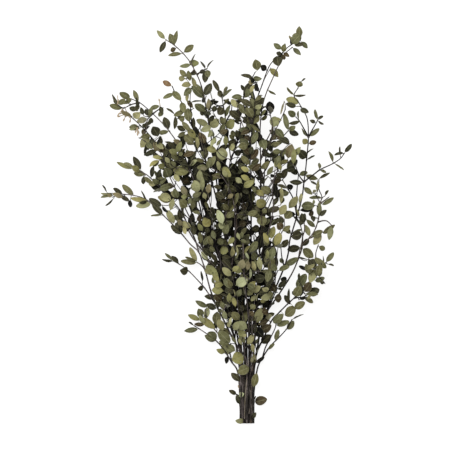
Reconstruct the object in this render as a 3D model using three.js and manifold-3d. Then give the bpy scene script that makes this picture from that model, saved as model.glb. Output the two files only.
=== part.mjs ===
// A bunch of dried eucalyptus lying on a flat surface, in millimetres. The stems run along Y, with their
// cut ends at -Y and their tips at +Y, and +Z is up. Each leafy stem is one piece: its stem, the twigs
// that grow from it and the leaves on them. The cut ends lie in a heap, and above it the stems fan out.
import * as THREE from "three";
import { mergeVertices } from "three/addons/utils/BufferGeometryUtils.js";
import Module from "manifold-3d";

// Driving dimensions
const BUNCH_LENGTH = 650; // cut ends to the furthest leaf tip
const STEM_RADIUS = 2; // at the cut end
const STEM_TIP_RADIUS = 0.75;
const TWIG_RADIUS = 1.05; // where a twig leaves its stem
const TWIG_TIP_RADIUS = 0.6;
const STEM_PITCH = 4.3; // between neighbours in the heap of cut ends
const LEAF_LENGTH = 22; // a full-grown leaf with its stalk
const LEAF_WIDTH_SHARE = 0.42; // of its length
const LEAF_THICKNESS = 0.72;
const PAIR_SPACING = 126; // along a stem or twig, between the pairs of leaves that the rule adds
const CROWN_HEIGHT = 168; // the most that a twig of the crown stands above the surface
const FLOOR_GAP = 0.3; // under every leaf but the two that the bunch rests on

// The drawing grid: the places below are in its steps, x to the right and y down from the tips.
const GRID_LENGTH = 396; // BUNCH_LENGTH on the grid
const STEP = BUNCH_LENGTH / GRID_LENGTH;
const GRID_MIDDLE = [225.8, 227.3]; // where the part's origin is
const CUT_ENDS = [247, 424]; // the middle of the cut ends

// The leafy stems. row and place say where the cut end lies in the heap, place in STEM_PITCH from its
// middle. held is how many of BUNDLE's steps the stem keeps to. route is its way from there to its tip.
// heights, in mm, are at a third, at two thirds and at the end of that way.
const STEMS = [
  {
    name: "leafy_stem_left_lowest",
    row: 0,
    place: -2.5,
    held: 2,
    heights: [6, 13, 17],
    route: [[237, 370], [232, 363], [225, 352], [217, 342], [205, 333], [194, 326]],
    twigs: [
      [[232, 363], [229, 351], [222, 339], [214, 329], [207, 319], [205, 310], 26],
      [[241, 398], [238, 396], [235, 394], 8],
    ],
  },
  {
    name: "leafy_stem_left_under",
    row: 0,
    place: -1.5,
    held: 4,
    heights: [12, 26, 34],
    route: [[241.5, 350], [237, 322], [231, 294], [222, 264], [212, 240], [201, 216], [189, 193],
      [178, 172], [168, 160], [160, 148], [152, 138], [140, 125], [127, 113]],
    twigs: [
      [[195, 204], [186, 199], [174, 194], [163, 190], 0.9],
      [[152, 138], [148, 142], [146, 146], 24],
      [[168, 160], [160, 156], [152, 152], 22],
    ],
  },
  {
    name: "leafy_stem_middle_under",
    row: 0,
    place: -0.5,
    held: 4,
    heights: [10, 18, 22],
    route: [[245, 350], [242, 320], [238, 290], [235, 260], [233, 230], [232, 204], [233, 180]],
    twigs: [],
  },
  {
    name: "leafy_stem_right_middle",
    row: 0,
    place: 0.5,
    held: 4,
    heights: [14, 32, 42],
    route: [[251.5, 350], [258, 330], [267, 312], [276, 299], [284, 287], [292.5, 273], [298, 260],
      [301.5, 246], [309.5, 238], [315, 230], [319, 217], [320, 204], [322, 197], [319, 189], [319, 181]],
    twigs: [
      [[301.5, 246], [304, 237], [305, 230], [304, 221], 46],
      [[317, 222], [322, 220.5], [327, 221], [332, 225.5], 34],
      [[309.5, 238], [316, 236], [323, 232], 30],
      [[320, 204], [325, 200], [329, 197], 38],
      [[298, 260], [302, 249], [303, 236], [301, 226], 0.9],
    ],
  },
  {
    name: "leafy_stem_right_lower",
    row: 0,
    place: 1.5,
    held: 4,
    heights: [12, 28, 34],
    route: [[258, 350], [264, 338], [273, 319], [278, 314], [286, 306], [294.5, 298], [303, 290],
      [310, 281], [315, 272], [321, 266], [327, 262]],
    twigs: [
      [[310, 281], [310, 274], [308, 268], 26],
      [[313, 276], [317, 264], [316, 254], [318.5, 245], 36],
      [[294.5, 298], [304, 297], [312, 291], 18],
    ],
  },
  {
    name: "leafy_stem_right_lowest",
    row: 0,
    place: 2.5,
    held: 3,
    heights: [7, 13, 18],
    route: [[258.5, 366], [262.5, 358.5], [270, 347], [279, 338], [287, 329], [292, 320]],
    twigs: [
      [[262.5, 358.5], [266, 348], [272, 336], [276, 326], [276, 319], 24],
    ],
  },
  {
    name: "leafy_stem_left_middle",
    row: 1,
    place: -2,
    held: 4,
    heights: [24, 48, 60],
    route: [[236, 345], [229, 318], [219, 290], [209, 262], [198, 236], [187, 212], [177, 192],
      [169, 175], [163, 158]],
    twigs: [],
  },
  {
    name: "leafy_stem_top_left",
    row: 1,
    place: -1,
    held: 4,
    heights: [30, 66, 86],
    route: [[240, 340], [235, 305], [229, 265], [223, 225], [217, 185], [213, 150], [209, 125],
      [206, 108], [204, 96], [200, 82], [196, 73], [190, 62], [183, 53.5], [175, 46], [166, 40]],
    twigs: [
      [[197, 75], [202, 71], [207, 69], 92],
      [[194, 70], [189, 76], [186, 79], 76],
    ],
  },
  {
    name: "leafy_stem_top_middle",
    row: 1,
    place: 0,
    held: 4,
    heights: [34, 78, 104],
    route: [[246.5, 340], [244, 300], [240, 255], [236, 210], [232, 170], [228, 138], [225, 116],
      [222, 98]],
    twigs: [
      [[226, 122], [231, 112], [232, 106], 100],
      [[223.5, 106], [218, 106], [214, 104], 96],
      [[231, 160], [238, 140], [241, 122], 96],
    ],
  },
  {
    name: "leafy_stem_right_inner",
    row: 1,
    place: 1,
    held: 4,
    heights: [34, 74, 94],
    route: [[252, 340], [256, 300], [259, 260], [262, 220], [264, 180], [266, 156], [270, 140],
      [276, 129], [281, 119], [285, 110]],
    twigs: [
      [[270, 140], [281, 138], [288, 131], 88],
      [[263, 195], [274, 180], [279, 165], 96],
    ],
  },
  {
    name: "leafy_stem_right_tall",
    row: 1,
    place: 2,
    held: 4,
    heights: [26, 52, 66],
    route: [[258, 345], [262, 325], [268, 308], [277, 285], [284.5, 267], [288, 255], [290, 240],
      [293.5, 228], [297, 216], [302, 198], [304, 182], [306, 167], [307, 155], [308.5, 137], [307, 118],
      [303, 110], [299, 103], [294, 95.5], [298, 88]],
    twigs: [
      [[308.5, 137], [304, 129], [299.5, 121], [296, 117], 60],
      [[308.5, 137], [311, 132], [314.5, 126], [317.5, 120.5], 70],
      [[304, 182], [310, 177], [315, 173.5], [319.5, 170], [333, 163.5], [341, 158], [344.5, 153], 50],
      [[304, 182], [299.5, 176], [296, 167], 60],
      [[297, 216], [293, 198], [287, 187.5], [282.5, 180], 60],
      [[284.5, 267], [282, 258], [281, 248], 44],
    ],
  },
  {
    name: "leafy_stem_left_upper",
    row: 2,
    place: -1.5,
    held: 4,
    heights: [40, 86, 96],
    route: [[238, 340], [231, 305], [222, 268], [212, 232], [201, 200], [190, 170], [180, 147],
      [169, 131], [163, 124], [153, 114], [140, 103], [131, 99]],
    twigs: [
      [[153, 114], [160, 109], [163, 108], 98],
      [[153, 114], [149, 118], [148, 119], 90],
      [[140, 103], [132, 105], [123, 109], 88],
    ],
  },
  {
    name: "leafy_stem_upper_left",
    row: 2,
    place: -0.5,
    held: 4,
    heights: [50, 108, 124],
    route: [[243, 338], [238, 298], [230, 255], [220, 212], [209, 172], [198, 140], [187, 116],
      [182, 103], [176, 95], [172.5, 87]],
    twigs: [
      [[192, 126], [191, 112], [190, 103], 124],
      [[187, 116], [180, 118], [175, 115], 116],
    ],
  },
  {
    name: "leafy_stem_top_right",
    row: 2,
    place: 0.5,
    held: 4,
    heights: [56, 124, 148],
    route: [[249.5, 335], [250.5, 290], [251, 245], [251, 200], [250, 160], [252, 130], [255, 108],
      [258, 96], [261, 88], [266, 74], [271, 64], [279, 57], [286, 49.5], [292, 45]],
    twigs: [
      [[252.5, 126], [246, 112], [243, 101], [245, 92], 134],
      [[256, 104], [253, 92], [251, 82], [255, 73], 136],
    ],
  },
  {
    name: "leafy_stem_upper_right",
    row: 2,
    place: 1.5,
    held: 4,
    heights: [48, 104, 122],
    route: [[255, 335], [258, 290], [260, 245], [261, 200], [260.5, 160], [260, 130], [262, 108],
      [266, 94], [272, 80], [278, 67], [284, 55], [292, 48]],
    twigs: [
      [[260.5, 160], [266, 142], [272, 128], [270, 114], 98],
    ],
  },
  {
    name: "leafy_stem_left_long",
    row: 3,
    place: 0,
    held: 4,
    heights: [35, 32, 14],
    route: [[246, 359], [237, 346], [230, 333], [224, 321], [218.5, 310], [214, 300], [210, 289],
      [205, 269.5], [202.5, 262], [198.5, 252], [190, 244], [182.5, 235], [170, 222], [164, 216],
      [152, 204], [143, 198], [132, 195], [119, 194]],
    twigs: [
      [[216, 305], [211, 297], [204, 287], [197, 279.5], [189, 271.5], [182, 266], [174, 261.5], 12],
      [[205, 269.5], [201, 265], [197, 262.5], 26],
      [[198.5, 252], [193, 240], [188, 229], [180, 212], [168, 197], [156, 184], [147, 175], [139, 170.5],
        [133, 167], 26],
    ],
  },
];
// Where a held stem's places lie: the distance from its cut end on the grid, and how far the heap has
// widened there.
const BUNDLE = [[0, 1], [18, 1.02], [34, 1.1], [50, 1.3]];

// The leaves that show from above: the root and the tip on the grid, and how wide the leaf shows.
const TOP_LEFT_LEAVES = [
  [165, 40, 156.5, 31, 4.5], [166, 40, 160.5, 53, 5], [175, 46.5, 169, 34, 6.5], [174.5, 46, 177, 31, 4],
  [177, 48, 170.5, 51, 4.5], [183, 53, 194, 45.5, 6], [183, 54, 168, 55, 4], [191, 63, 194.5, 53, 1.5],
  [192, 69, 194, 60, 9], [190, 66, 179.5, 66.5, 4], [197, 73, 205, 70, 4], [205.5, 69, 201, 60.5, 2.5],
  [207, 69, 212.5, 59, 1.8], [207, 70, 209, 78, 5.5], [206, 71, 205.5, 83, 6], [187, 77, 179.5, 70, 4.5],
  [186, 78, 178, 79, 5], [190, 81, 189, 70.5, 5], [191, 85, 181.5, 85.5, 6], [195, 88, 193, 77, 3.5],
  [203.5, 99, 192, 85.5, 7], [192, 88, 184.5, 95.5, 6], [204, 96.5, 211.5, 83.5, 7],
  [172.5, 87, 163, 81.5, 5], [174.5, 94, 163, 98.5, 4], [173, 92, 181, 100.5, 6],
  [181, 102, 184.5, 112, 6], [185, 111, 174, 116.5, 5], [175, 115, 166.5, 108, 2],
  [175, 116, 175.5, 129.5, 4], [184.5, 118, 178, 119, 5], [187, 102, 189, 91, 3],
  [190.5, 121, 188.5, 108.5, 7], [191, 103, 201.5, 101.5, 1.5], [207, 112, 195, 104, 7],
  [208.5, 110, 209.5, 99.5, 4], [208, 126, 196.5, 119.5, 6], [210, 128, 219, 119.5, 8],
  [211, 127, 201, 130.5, 6], [219, 92, 213.5, 80, 4], [222.5, 99, 219, 91, 5], [223, 95, 227, 87, 2],
  [223.5, 105, 228.5, 99, 2.5], [224.5, 107, 218.5, 114.5, 8], [226, 118, 229, 105, 4],
  [214, 112, 214, 106, 6], [228, 129, 234.5, 120.5, 8], [241, 123, 233, 120.5, 2.5],
  [246, 124, 242, 116, 2],
];
const LEFT_UPPER_LEAVES = [
  [118, 105, 113, 94, 3], [131, 99, 120, 92.5, 6], [122, 109, 110, 105, 5.5], [130, 103, 119, 102, 4],
  [138.5, 102, 133.5, 90, 4.5], [138.5, 103, 136.5, 112, 4.5], [132.5, 118, 140, 112, 7],
  [148, 118, 136.5, 122, 6], [148.5, 118, 151, 107.5, 5], [150, 109, 160, 106, 4],
  [160, 107, 163.5, 114, 4.5], [163, 111, 159, 117, 4.5], [139.5, 128, 128.5, 126, 6],
  [158, 136, 153, 126, 9], [150, 136, 140, 147, 8], [169, 131, 164.5, 117, 7], [169, 131, 159.5, 134, 4],
  [162, 143.5, 159.5, 136, 4], [175, 147, 165.5, 141, 3.5], [166, 152, 154, 142, 8],
  [152, 151, 144, 155, 4.5], [152, 152, 159.5, 159, 4.5], [148, 150, 146, 143, 4],
];
const LEFT_LEAVES = [
  [140.5, 169, 132.5, 156.5, 6], [131.5, 168.5, 116, 162.5, 4], [135, 167, 124, 163, 3.5],
  [140, 172, 131.5, 167, 6], [146.5, 174.5, 133, 172, 6], [143.5, 176, 142.5, 184, 4],
  [144, 177, 152.5, 183.5, 4], [156, 185, 148, 183, 5], [157, 178, 154.5, 170.5, 2.5],
  [157, 178, 161, 169, 3.5], [168.5, 177, 165, 167.5, 9.5], [166, 167, 158, 165.5, 5],
  [189.5, 171.5, 173, 170.5, 9], [198.5, 193, 194, 181, 10], [160.5, 194.5, 171, 200, 8],
  [170.5, 210, 172.5, 200, 4], [187, 207, 179.5, 200.5, 8], [191, 227, 181, 223, 6],
  [210, 220, 202.5, 225, 9], [223, 225, 218, 209.5, 7], [223, 220, 221, 229, 6],
  [201, 244.5, 199.5, 232, 5], [229, 252, 219.5, 249, 8], [208, 261, 201.5, 251, 4],
  [107, 193, 102, 185, 1.5], [111.5, 193, 100.5, 193.5, 2], [113, 195, 100, 196.5, 3],
  [113.5, 198, 106.5, 206.5, 1.5], [123, 194, 112.5, 188.5, 4], [133, 194.5, 121.5, 185, 5.5],
  [118, 195, 129, 201, 4], [147, 201, 130, 199, 4.5], [130, 200, 130.5, 207, 4],
  [147, 199.5, 141, 190, 1.8], [151.5, 204, 135.5, 205.5, 6], [161, 206, 149, 198, 6],
  [163, 215, 152.5, 203.5, 5.5], [162, 215, 150.5, 216, 1.8], [174, 223, 167, 210, 6],
  [182, 235, 171, 225.5, 5.5], [183, 234, 175, 222.5, 4.5], [197.5, 262, 189.5, 247.5, 5],
  [196, 261, 185, 257.5, 2], [197, 263.5, 180.5, 261.5, 5], [206, 266, 217, 273.5, 7],
  [212, 273, 219.5, 282, 5], [173.5, 261.5, 164, 253.5, 2.5], [173, 261.5, 162, 259, 3],
  [179, 264.5, 172, 255.5, 4], [189, 271.5, 180.5, 270, 8], [202.5, 283, 200.5, 271.5, 1.8],
  [205, 287.5, 197.5, 288.5, 5],
];
const TOP_RIGHT_LEAVES = [
  [299, 40, 299, 27.5, 6], [292.5, 44.5, 300, 34, 9], [291, 44.5, 290, 35.5, 3], [294, 44, 302, 47, 5],
  [300, 42, 307.5, 49, 4.5], [292, 47, 300.5, 55.5, 4.5], [281, 50, 273, 44.5, 5],
  [283, 51, 284.5, 45, 3.5], [282, 54, 276, 55, 4], [283, 54, 288.5, 57, 4], [282, 54, 284, 61, 4],
  [276.5, 57, 278, 66.5, 9], [257.5, 71, 255.5, 60, 8], [268, 72, 260.5, 66.5, 6],
  [278, 77.5, 270, 68.5, 6], [252, 78, 240.5, 75, 4], [254, 79.5, 261, 79.5, 5],
  [244, 92, 240.5, 85.5, 3.5], [251, 83, 243.5, 94, 5], [244, 97, 231.5, 98, 5],
  [253, 105, 252.5, 90.5, 4], [245, 99.5, 250.5, 88, 7], [254, 106.5, 263.5, 98, 7],
  [249, 115, 237.5, 104.5, 6], [253, 119, 247, 108, 7], [251.5, 106.5, 241, 100, 6],
  [268.5, 90.5, 275.5, 95, 2.5], [268.5, 114, 270, 101.5, 8], [267.5, 112, 262, 114.5, 5],
  [265.5, 107.5, 258.5, 107, 1.5], [273, 127, 275.5, 117, 9], [288, 130.5, 284, 113.5, 5],
  [288, 130.5, 295, 126.5, 5], [289, 123.5, 300, 121.5, 3.5], [299, 102.5, 286, 99, 7],
  [284, 101.5, 281, 115, 2], [300.5, 82, 305.5, 78.5, 1.5], [298, 88, 300, 81.5, 6.5],
  [294, 94.5, 286, 88, 2], [294.5, 95.5, 306, 96.5, 2.5], [300.5, 109, 308.5, 113, 5],
  [296, 117, 288.5, 111, 6], [299.5, 119.5, 298, 111.5, 1.5], [307.5, 136, 300.5, 128.5, 2],
  [309, 137, 319.5, 128.5, 4.5], [317.5, 119.5, 315, 109.5, 3], [316.5, 123, 310, 120.5, 3.5],
  [318.5, 120.5, 323, 115, 3], [318.5, 120, 323, 124.5, 2], [308, 144, 302.5, 139.5, 5.5],
  [308.5, 144, 316, 141.5, 4.5], [308, 153.5, 313, 148, 1.5], [307, 158.5, 299, 151.5, 8],
  [307.5, 158.5, 315, 156.5, 2], [344.5, 153, 352, 144, 4], [344, 153, 334.5, 154, 3],
  [340.5, 156, 339.5, 147, 1.5], [333.5, 163.5, 330, 151, 3], [334, 163.5, 344, 170.5, 2],
  [319.5, 170, 319.5, 162.5, 3], [319.5, 170.5, 327, 172, 3], [318, 179, 305.5, 175.5, 5],
  [319.5, 178.5, 330.5, 173, 3], [287.5, 159.5, 291.5, 144, 9], [294, 158, 300, 147, 5],
];
const RIGHT_LEAVES = [
  [296.5, 167, 285.5, 171, 6], [296, 160, 287, 170, 8], [304, 182.5, 289.5, 182.5, 5],
  [291, 190, 289, 184, 6], [291, 192, 281.5, 194, 5], [303, 186.5, 311.5, 194.5, 5],
  [311, 181, 316, 185.5, 3], [280.5, 205, 281.5, 187, 4], [289, 208, 298, 196.5, 7],
  [279, 216, 286, 205, 7], [284, 219.5, 291.5, 210.5, 8], [296.5, 214.5, 289, 214, 5],
  [298, 205.5, 315, 205.5, 8], [304, 223, 301.5, 213.5, 6.5], [312, 217, 311, 209.5, 5],
  [311.5, 216, 314.5, 221.5, 5.5], [315, 227, 306, 220, 4.5], [309.5, 237, 306, 224.5, 5],
  [303, 234, 291.5, 236.5, 8.5], [301.5, 246.5, 310, 238.5, 5], [311.5, 238.5, 323, 231, 6],
  [322, 232, 313.5, 244.5, 7], [323.5, 233.5, 335.5, 225, 5], [332, 226, 329, 240, 5.5],
  [319.5, 215.5, 319.5, 202.5, 5], [320, 215.5, 327, 210, 4.5], [322.5, 204.5, 334, 197.5, 4],
  [321.5, 198, 309, 197, 3], [325, 196, 328, 190, 2], [300, 247.5, 287.5, 250.5, 7],
  [301, 247.5, 314, 257, 8], [317.5, 246, 325.5, 249.5, 5], [281, 247, 288, 240.5, 6],
  [282, 231.5, 289.5, 226.5, 5], [284, 230, 277, 223, 7], [274.5, 246.5, 280, 233, 8],
  [284, 264.5, 280.5, 258, 4], [285.5, 266, 298, 258, 6], [298, 257, 307.5, 259, 1.5],
  [326.5, 263.5, 334, 252.5, 5], [323.5, 263, 323.5, 255.5, 1.5], [327.5, 264, 334, 265.5, 1.5],
  [326.5, 268, 315, 258.5, 6], [308, 270.5, 314, 259, 7], [306.5, 270.5, 299, 266, 3.5],
  [319, 273, 319.5, 265, 6], [315.5, 278, 309.5, 270.5, 9], [315.5, 281, 325.5, 278.5, 5],
  [297, 287.5, 307, 274.5, 8], [299, 281.5, 299.5, 273.5, 2.5], [288.5, 281.5, 281, 279, 6],
];
const INNER_LEAVES = [
  [265.5, 207, 257, 200, 9], [264.5, 197.5, 256.5, 189.5, 6], [244.5, 185.5, 254.5, 179.5, 7],
  [271, 193, 261.5, 187.5, 8], [235, 285.5, 248, 278.5, 9], [243, 272, 232.5, 268, 6],
  [260.5, 271.5, 259, 256.5, 5], [269.5, 272.5, 273, 257, 6], [249.5, 252, 257.5, 240, 7],
  [266, 239.5, 271, 227.5, 6], [236, 211, 230, 216, 7], [224.5, 291, 211.5, 289.5, 7.5],
  [247, 329.5, 235.5, 323.5, 11], [240, 320.5, 232, 312.5, 7], [256, 324.5, 261.5, 308.5, 8],
  [262.5, 298, 273, 293, 8], [246.5, 345.5, 253.5, 334.5, 6], [252.5, 354, 253.5, 344, 5],
  [254, 366, 254.5, 356, 3], [262, 345, 271, 335, 8], [262, 333, 271.5, 325, 8],
  [273, 297.5, 282, 298.5, 8],
];
const LOWER_LEAVES = [
  [207, 307, 195, 301.5, 5], [216, 308.5, 206.5, 305, 6], [201.5, 317, 197.5, 309, 7],
  [205.5, 319, 208.5, 307.5, 5.5], [199.5, 320.5, 188, 314.5, 5], [204.5, 324.5, 194, 324.5, 4],
  [201, 318, 214.5, 329, 7], [216, 325, 217.5, 312, 8], [223, 330.5, 218.5, 319.5, 7],
  [229, 337, 219, 330, 11], [194, 326, 189, 322, 1.5], [198.5, 330, 184, 331.5, 5],
  [217.5, 341, 207.5, 333, 10], [215.5, 343, 204.5, 336, 6], [233.5, 351, 220.5, 347.5, 10],
  [224.5, 354, 217, 350.5, 5], [243, 356.5, 232, 361, 12], [228.5, 355.5, 225.5, 364, 4],
  [249, 368, 237.5, 372, 9], [241, 382.5, 232, 373.5, 6], [253.5, 389, 257.5, 373.5, 6.5],
  [237, 395.5, 229, 390.5, 4], [238, 397, 244, 394.5, 5], [240, 405, 237, 396, 5],
  [254, 403, 267, 400, 8.5], [254, 401, 256.5, 396.5, 1.5], [252, 419, 256, 413, 4],
  [244, 421.5, 236.5, 421.5, 5], [290.5, 304.5, 284, 295, 4.5], [289, 303.5, 289.5, 288.5, 3],
  [294.5, 298, 300.5, 286, 8], [303.5, 298, 314, 302.5, 4.5], [285.5, 316, 296, 308, 9],
  [295, 308, 305.5, 303, 7], [307.5, 294, 320, 290, 8], [292, 319, 304, 314.5, 1.8],
  [273.5, 323, 283.5, 315, 7], [277, 325.5, 289.5, 321.5, 5.5], [287.5, 329.5, 295, 321, 6],
  [274.5, 341, 278.5, 329.5, 4.5], [269.5, 351, 274.5, 344, 2.5], [256, 364, 264, 357, 4],
];
const SHOWN_LEAVES = [
  ...TOP_LEFT_LEAVES, ...LEFT_UPPER_LEAVES, ...LEFT_LEAVES, ...TOP_RIGHT_LEAVES,
  ...RIGHT_LEAVES, ...INNER_LEAVES, ...LOWER_LEAVES,
];
// The two leaves that the bunch rests on: which stem, which of its twigs, and the way to the tip.
const REST_LEAVES = [
  { stem: 1, twig: 0, way: [-1, 0.35] },
  { stem: 3, twig: 4, way: [0.3, 1] },
];

// The crown, on the grid: the left and right edge of the close foliage at each y.
const CROWN = [
  [95, 208, 262], [110, 197, 272], [125, 188, 288], [140, 168, 296], [155, 152, 300], [170, 147, 301],
  [190, 146, 303], [210, 161, 302], [230, 176, 301], [250, 199, 299], [270, 209, 291], [290, 213, 282],
  [310, 219, 276], [330, 227, 268], [350, 235, 262], [368, 240, 257],
];

// Wood
const STEM_SIDES = 5;
const TWIG_SIDES = 4;
const STEM_PIECE = 46; // about the length of the straight pieces that a stem is made of
const TWIG_PIECE = 28;
const TIP_LENGTH = 1.8; // that wood runs on past its last point, to a blunt tip
const TWIG_RISE = 0.8; // the power of its length that a drawn twig's height follows

// The twigs that the rule adds
const TWIG_SPACING = 180; // along a stem
const TWIG_LENGTH = [58, 100];
const TWIG_LEAN = [0.55, 0.85]; // radians from its stem
const TWIG_LOWEST = 9; // above the surface
const TWIG_TRIES = 14;
const TWIG_SHORTER = 0.045; // the share that each try takes off a twig's length
const TWIG_SWEEP = [0.18, -0.14]; // how a twig curves along its stem and away from it, at its tip
const TWIG_PLACES = [0, 0.33, 0.67, 1]; // of the points that its curve passes, along it
const LEAN_TURNS = 7; // tries in which the lean takes each of its values once
const TWIG_PROBE = 7; // between the points of a new twig that are tested
const BARE_STEM = 0.3; // the share of a stem that has no rule-grown twig or leaf
const BARE_TWIG = 0.35;
const GOLDEN_ANGLE = Math.PI * (3 - Math.sqrt(5));

// Leaves
const LEAF_SIZE = [0.78, 1.05]; // of a full-grown leaf
const LEAF_OPEN = [0.75, 1.15]; // radians from its twig
const LEAF_FOLD = [0.1, 0.42]; // how far the sides rise, in half widths
const LEAF_BEND = [-0.06, 0.16]; // how far the tip drops, in lengths
const LEAF_TRIES = 9;
const LEAF_MIDDLE = 0.6; // the place along a leaf that stands for its middle
const LEAF_LIFT = 2.6; // between the heights that are tried for the tip of a drawn leaf
const NARROWEST = 0.8; // the least width of a drawn leaf, as a share of a full one's
const LIFT_ODDS = 0.6; // that a drawn leaf rises to its tip before it is tried sinking
const PAIR_TURN = 0.6; // the most that a pair of leaves is turned past its quarter turn
const TRY_TURN = 0.5; // of the golden angle, between the tries at a leaf of a pair
const TRY_OPEN = 0.12; // radians that a leaf opens further at each of three tries
const FACE_UP = 0.15; // how much every leaf of a pair looks up, beside its own share
const FACE_SPIN = 0.7; // the most that it is rolled about its length
const TIP_PLACE = 0.02; // of a piece, from the last pair to its wood's tip
const UPPER_WOOD = 0.03; // how far nearer wood counts for each mm that it lies higher
const LEAF_SLACK = 1.3; // the most that a leaf is longer than it shows from above
const ROOT_DEPTH = 0.2; // that a leaf starts behind the middle line of its wood
const ROOT_REACH = 14; // from the drawn root to the wood that a leaf may grow from
const WOOD_GAP = 0.9; // from a leaf's middle sheet to other wood
const LEAF_GAP = 1; // from its middle sheet to another leaf's outline
const SHEET_GAP = 2; // from its middle sheet to another leaf's middle sheet
const LEAF_REACH = 0.48; // of its length, that a leaf reaches from its middle
const EDGE_ON_LEAF = 4.9; // a drawn leaf that shows narrower than this is left out
const KITE_LEAF = 9.1; // a leaf that shows narrower than this has one pair of side corners, not two

const ALONG_X = new THREE.Vector3(1, 0, 0);
const ALONG_Y = new THREE.Vector3(0, 1, 0);
const UP = new THREE.Vector3(0, 0, 1);

/** A stream of numbers from 0 to 1, the same on every run. */
function draws(...key) {
  let state = key.reduce((sum, part) => (sum * 131 + part + 17) % 2147483647, 7);
  const next = () => (state = (state * 16807) % 2147483647) / 2147483647;
  next();
  next();
  return next;
}

const mix = (a, b, share) => a + (b - a) * share;
const onGrid = ([x, y], height) =>
  new THREE.Vector3((x - GRID_MIDDLE[0]) * STEP, (GRID_MIDDLE[1] - y) * STEP, height);

/** The value at t, from 0 to 1, of a smooth curve through numbers that are evenly spaced. */
function smooth(values, t) {
  const place = Math.min(t, 1) * (values.length - 1);
  const i = Math.min(Math.floor(place), values.length - 2);
  const f = place - i;
  const [a, b] = [values[i], values[i + 1]];
  const before = i ? values[i - 1] : 2 * a - b;
  const after = i + 2 < values.length ? values[i + 2] : 2 * b - a;
  const [leave, arrive] = [(b - before) / 2, (after - a) / 2];
  return a + f * (leave + f * (3 * (b - a) - 2 * leave - arrive + f * (2 * (a - b) + leave + arrive)));
}

/** Points about a given distance apart on a smooth curve through the given ones. */
function evenly(points, apart) {
  const curve = new THREE.CatmullRomCurve3(points, false, "centripetal");
  const dense = curve.getPoints((points.length - 1) * 8);
  const along = [0];
  for (let i = 1; i < dense.length; i++) along.push(along[i - 1] + dense[i].distanceTo(dense[i - 1]));
  const total = along[along.length - 1];
  const count = Math.max(2, Math.round(total / apart));
  const out = [];
  for (let i = 0, k = 1; i <= count; i++) {
    const want = (total * i) / count;
    while (k < along.length - 1 && along[k] < want) k++;
    out.push(dense[k - 1].clone().lerp(dense[k], (want - along[k - 1]) / (along[k] - along[k - 1])));
  }
  return out;
}

/** A stem or twig: its points, a radius and a frame at each, and the leafy stem that it is part of. */
function makeAxis(stem, points, thick, thin) {
  const radii = points.map((_, i) => mix(thick, thin, i / (points.length - 1)));
  const tangents = points.map((_, i) =>
    points[Math.min(i + 1, points.length - 1)].clone().sub(points[Math.max(i - 1, 0)]).normalize());
  const sides = [];
  tangents.forEach((tangent, i) => {
    const start = Math.abs(tangent.x) < 0.9 ? ALONG_X : ALONG_Y;
    const last = i ? sides[i - 1] : start;
    sides.push(last.clone().addScaledVector(tangent, -last.dot(tangent)).normalize());
  });
  const pieceLength = points[0].distanceTo(points[1]);
  return { stem, points, radii, tangents, sides, pieceLength, last: points.length - 1 };
}

/** The point, direction and side way at a place on an axis, which counts its pieces from its root. */
function placeOn(axis, place) {
  const i = Math.min(Math.floor(place), axis.last - 1);
  const share = place - i;
  const at = axis.points[i].clone().lerp(axis.points[i + 1], share);
  const tangent = axis.tangents[i].clone().lerp(axis.tangents[i + 1], share).normalize();
  const side = axis.sides[i].clone().lerp(axis.sides[i + 1], share);
  side.addScaledVector(tangent, -side.dot(tangent)).normalize();
  return { at, tangent, side };
}

/** A direction square to an axis, at an angle round it. */
function awayFrom({ tangent, side }, angle) {
  return side.clone().multiplyScalar(Math.cos(angle))
    .addScaledVector(tangent.clone().cross(side), Math.sin(angle));
}

/** The middle line of a stem, from its cut end to its tip. */
function stemLine(spec) {
  const rowHeight = STEM_PITCH * Math.sqrt(0.75);
  const flat = STEM_RADIUS * Math.cos(Math.PI / STEM_SIDES); // a stem lies on one of its flat sides
  const slotHeight = flat + spec.row * rowHeight;
  const held = BUNDLE.slice(0, spec.held).map(([back, spread]) => {
    const [x, y] = [CUT_ENDS[0] + (spec.place * STEM_PITCH * spread) / STEP, CUT_ENDS[1] - back];
    return onGrid([x, y], flat + (slotHeight - flat) * spread + (spread - 1) * STEM_RADIUS);
  });
  const start = held[held.length - 1];
  const free = spec.route.map((place) => onGrid(place, 0));
  const along = [0];
  free.forEach((point, i) => {
    const last = i ? free[i - 1] : start;
    along.push(along[i] + Math.hypot(point.x - last.x, point.y - last.y));
  });
  free.forEach((point, i) => {
    point.z = smooth([start.z, ...spec.heights], along[i + 1] / along[free.length]);
  });
  return evenly([...held, ...free], STEM_PIECE);
}

/** The nearest place on an axis, seen from above: [distance, place]. */
function nearestFromAbove(axis, x, y) {
  let best = [Infinity, 0];
  for (let i = 0; i < axis.last; i++) {
    const [a, b] = [axis.points[i], axis.points[i + 1]];
    const [dx, dy] = [b.x - a.x, b.y - a.y];
    const share = ((x - a.x) * dx + (y - a.y) * dy) / (dx * dx + dy * dy);
    const f = Math.min(Math.max(share, 0), 1);
    const away = Math.hypot(a.x + dx * f - x, a.y + dy * f - y);
    if (away < best[0]) best = [away, i + f];
  }
  return best;
}

/** The middle line of a drawn twig: grid places, then the height of its tip. */
function twigLine(parent, drawn) {
  const places = drawn.slice(0, -1).map((place) => onGrid(place, 0));
  const tipHeight = drawn[drawn.length - 1];
  const root = placeOn(parent, nearestFromAbove(parent, places[0].x, places[0].y)[1]).at;
  const rest = places.slice(1);
  rest.forEach((point, i) => {
    point.z = mix(root.z, tipHeight, ((i + 1) / rest.length) ** TWIG_RISE);
  });
  return evenly([root, ...rest], TWIG_PIECE);
}

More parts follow.
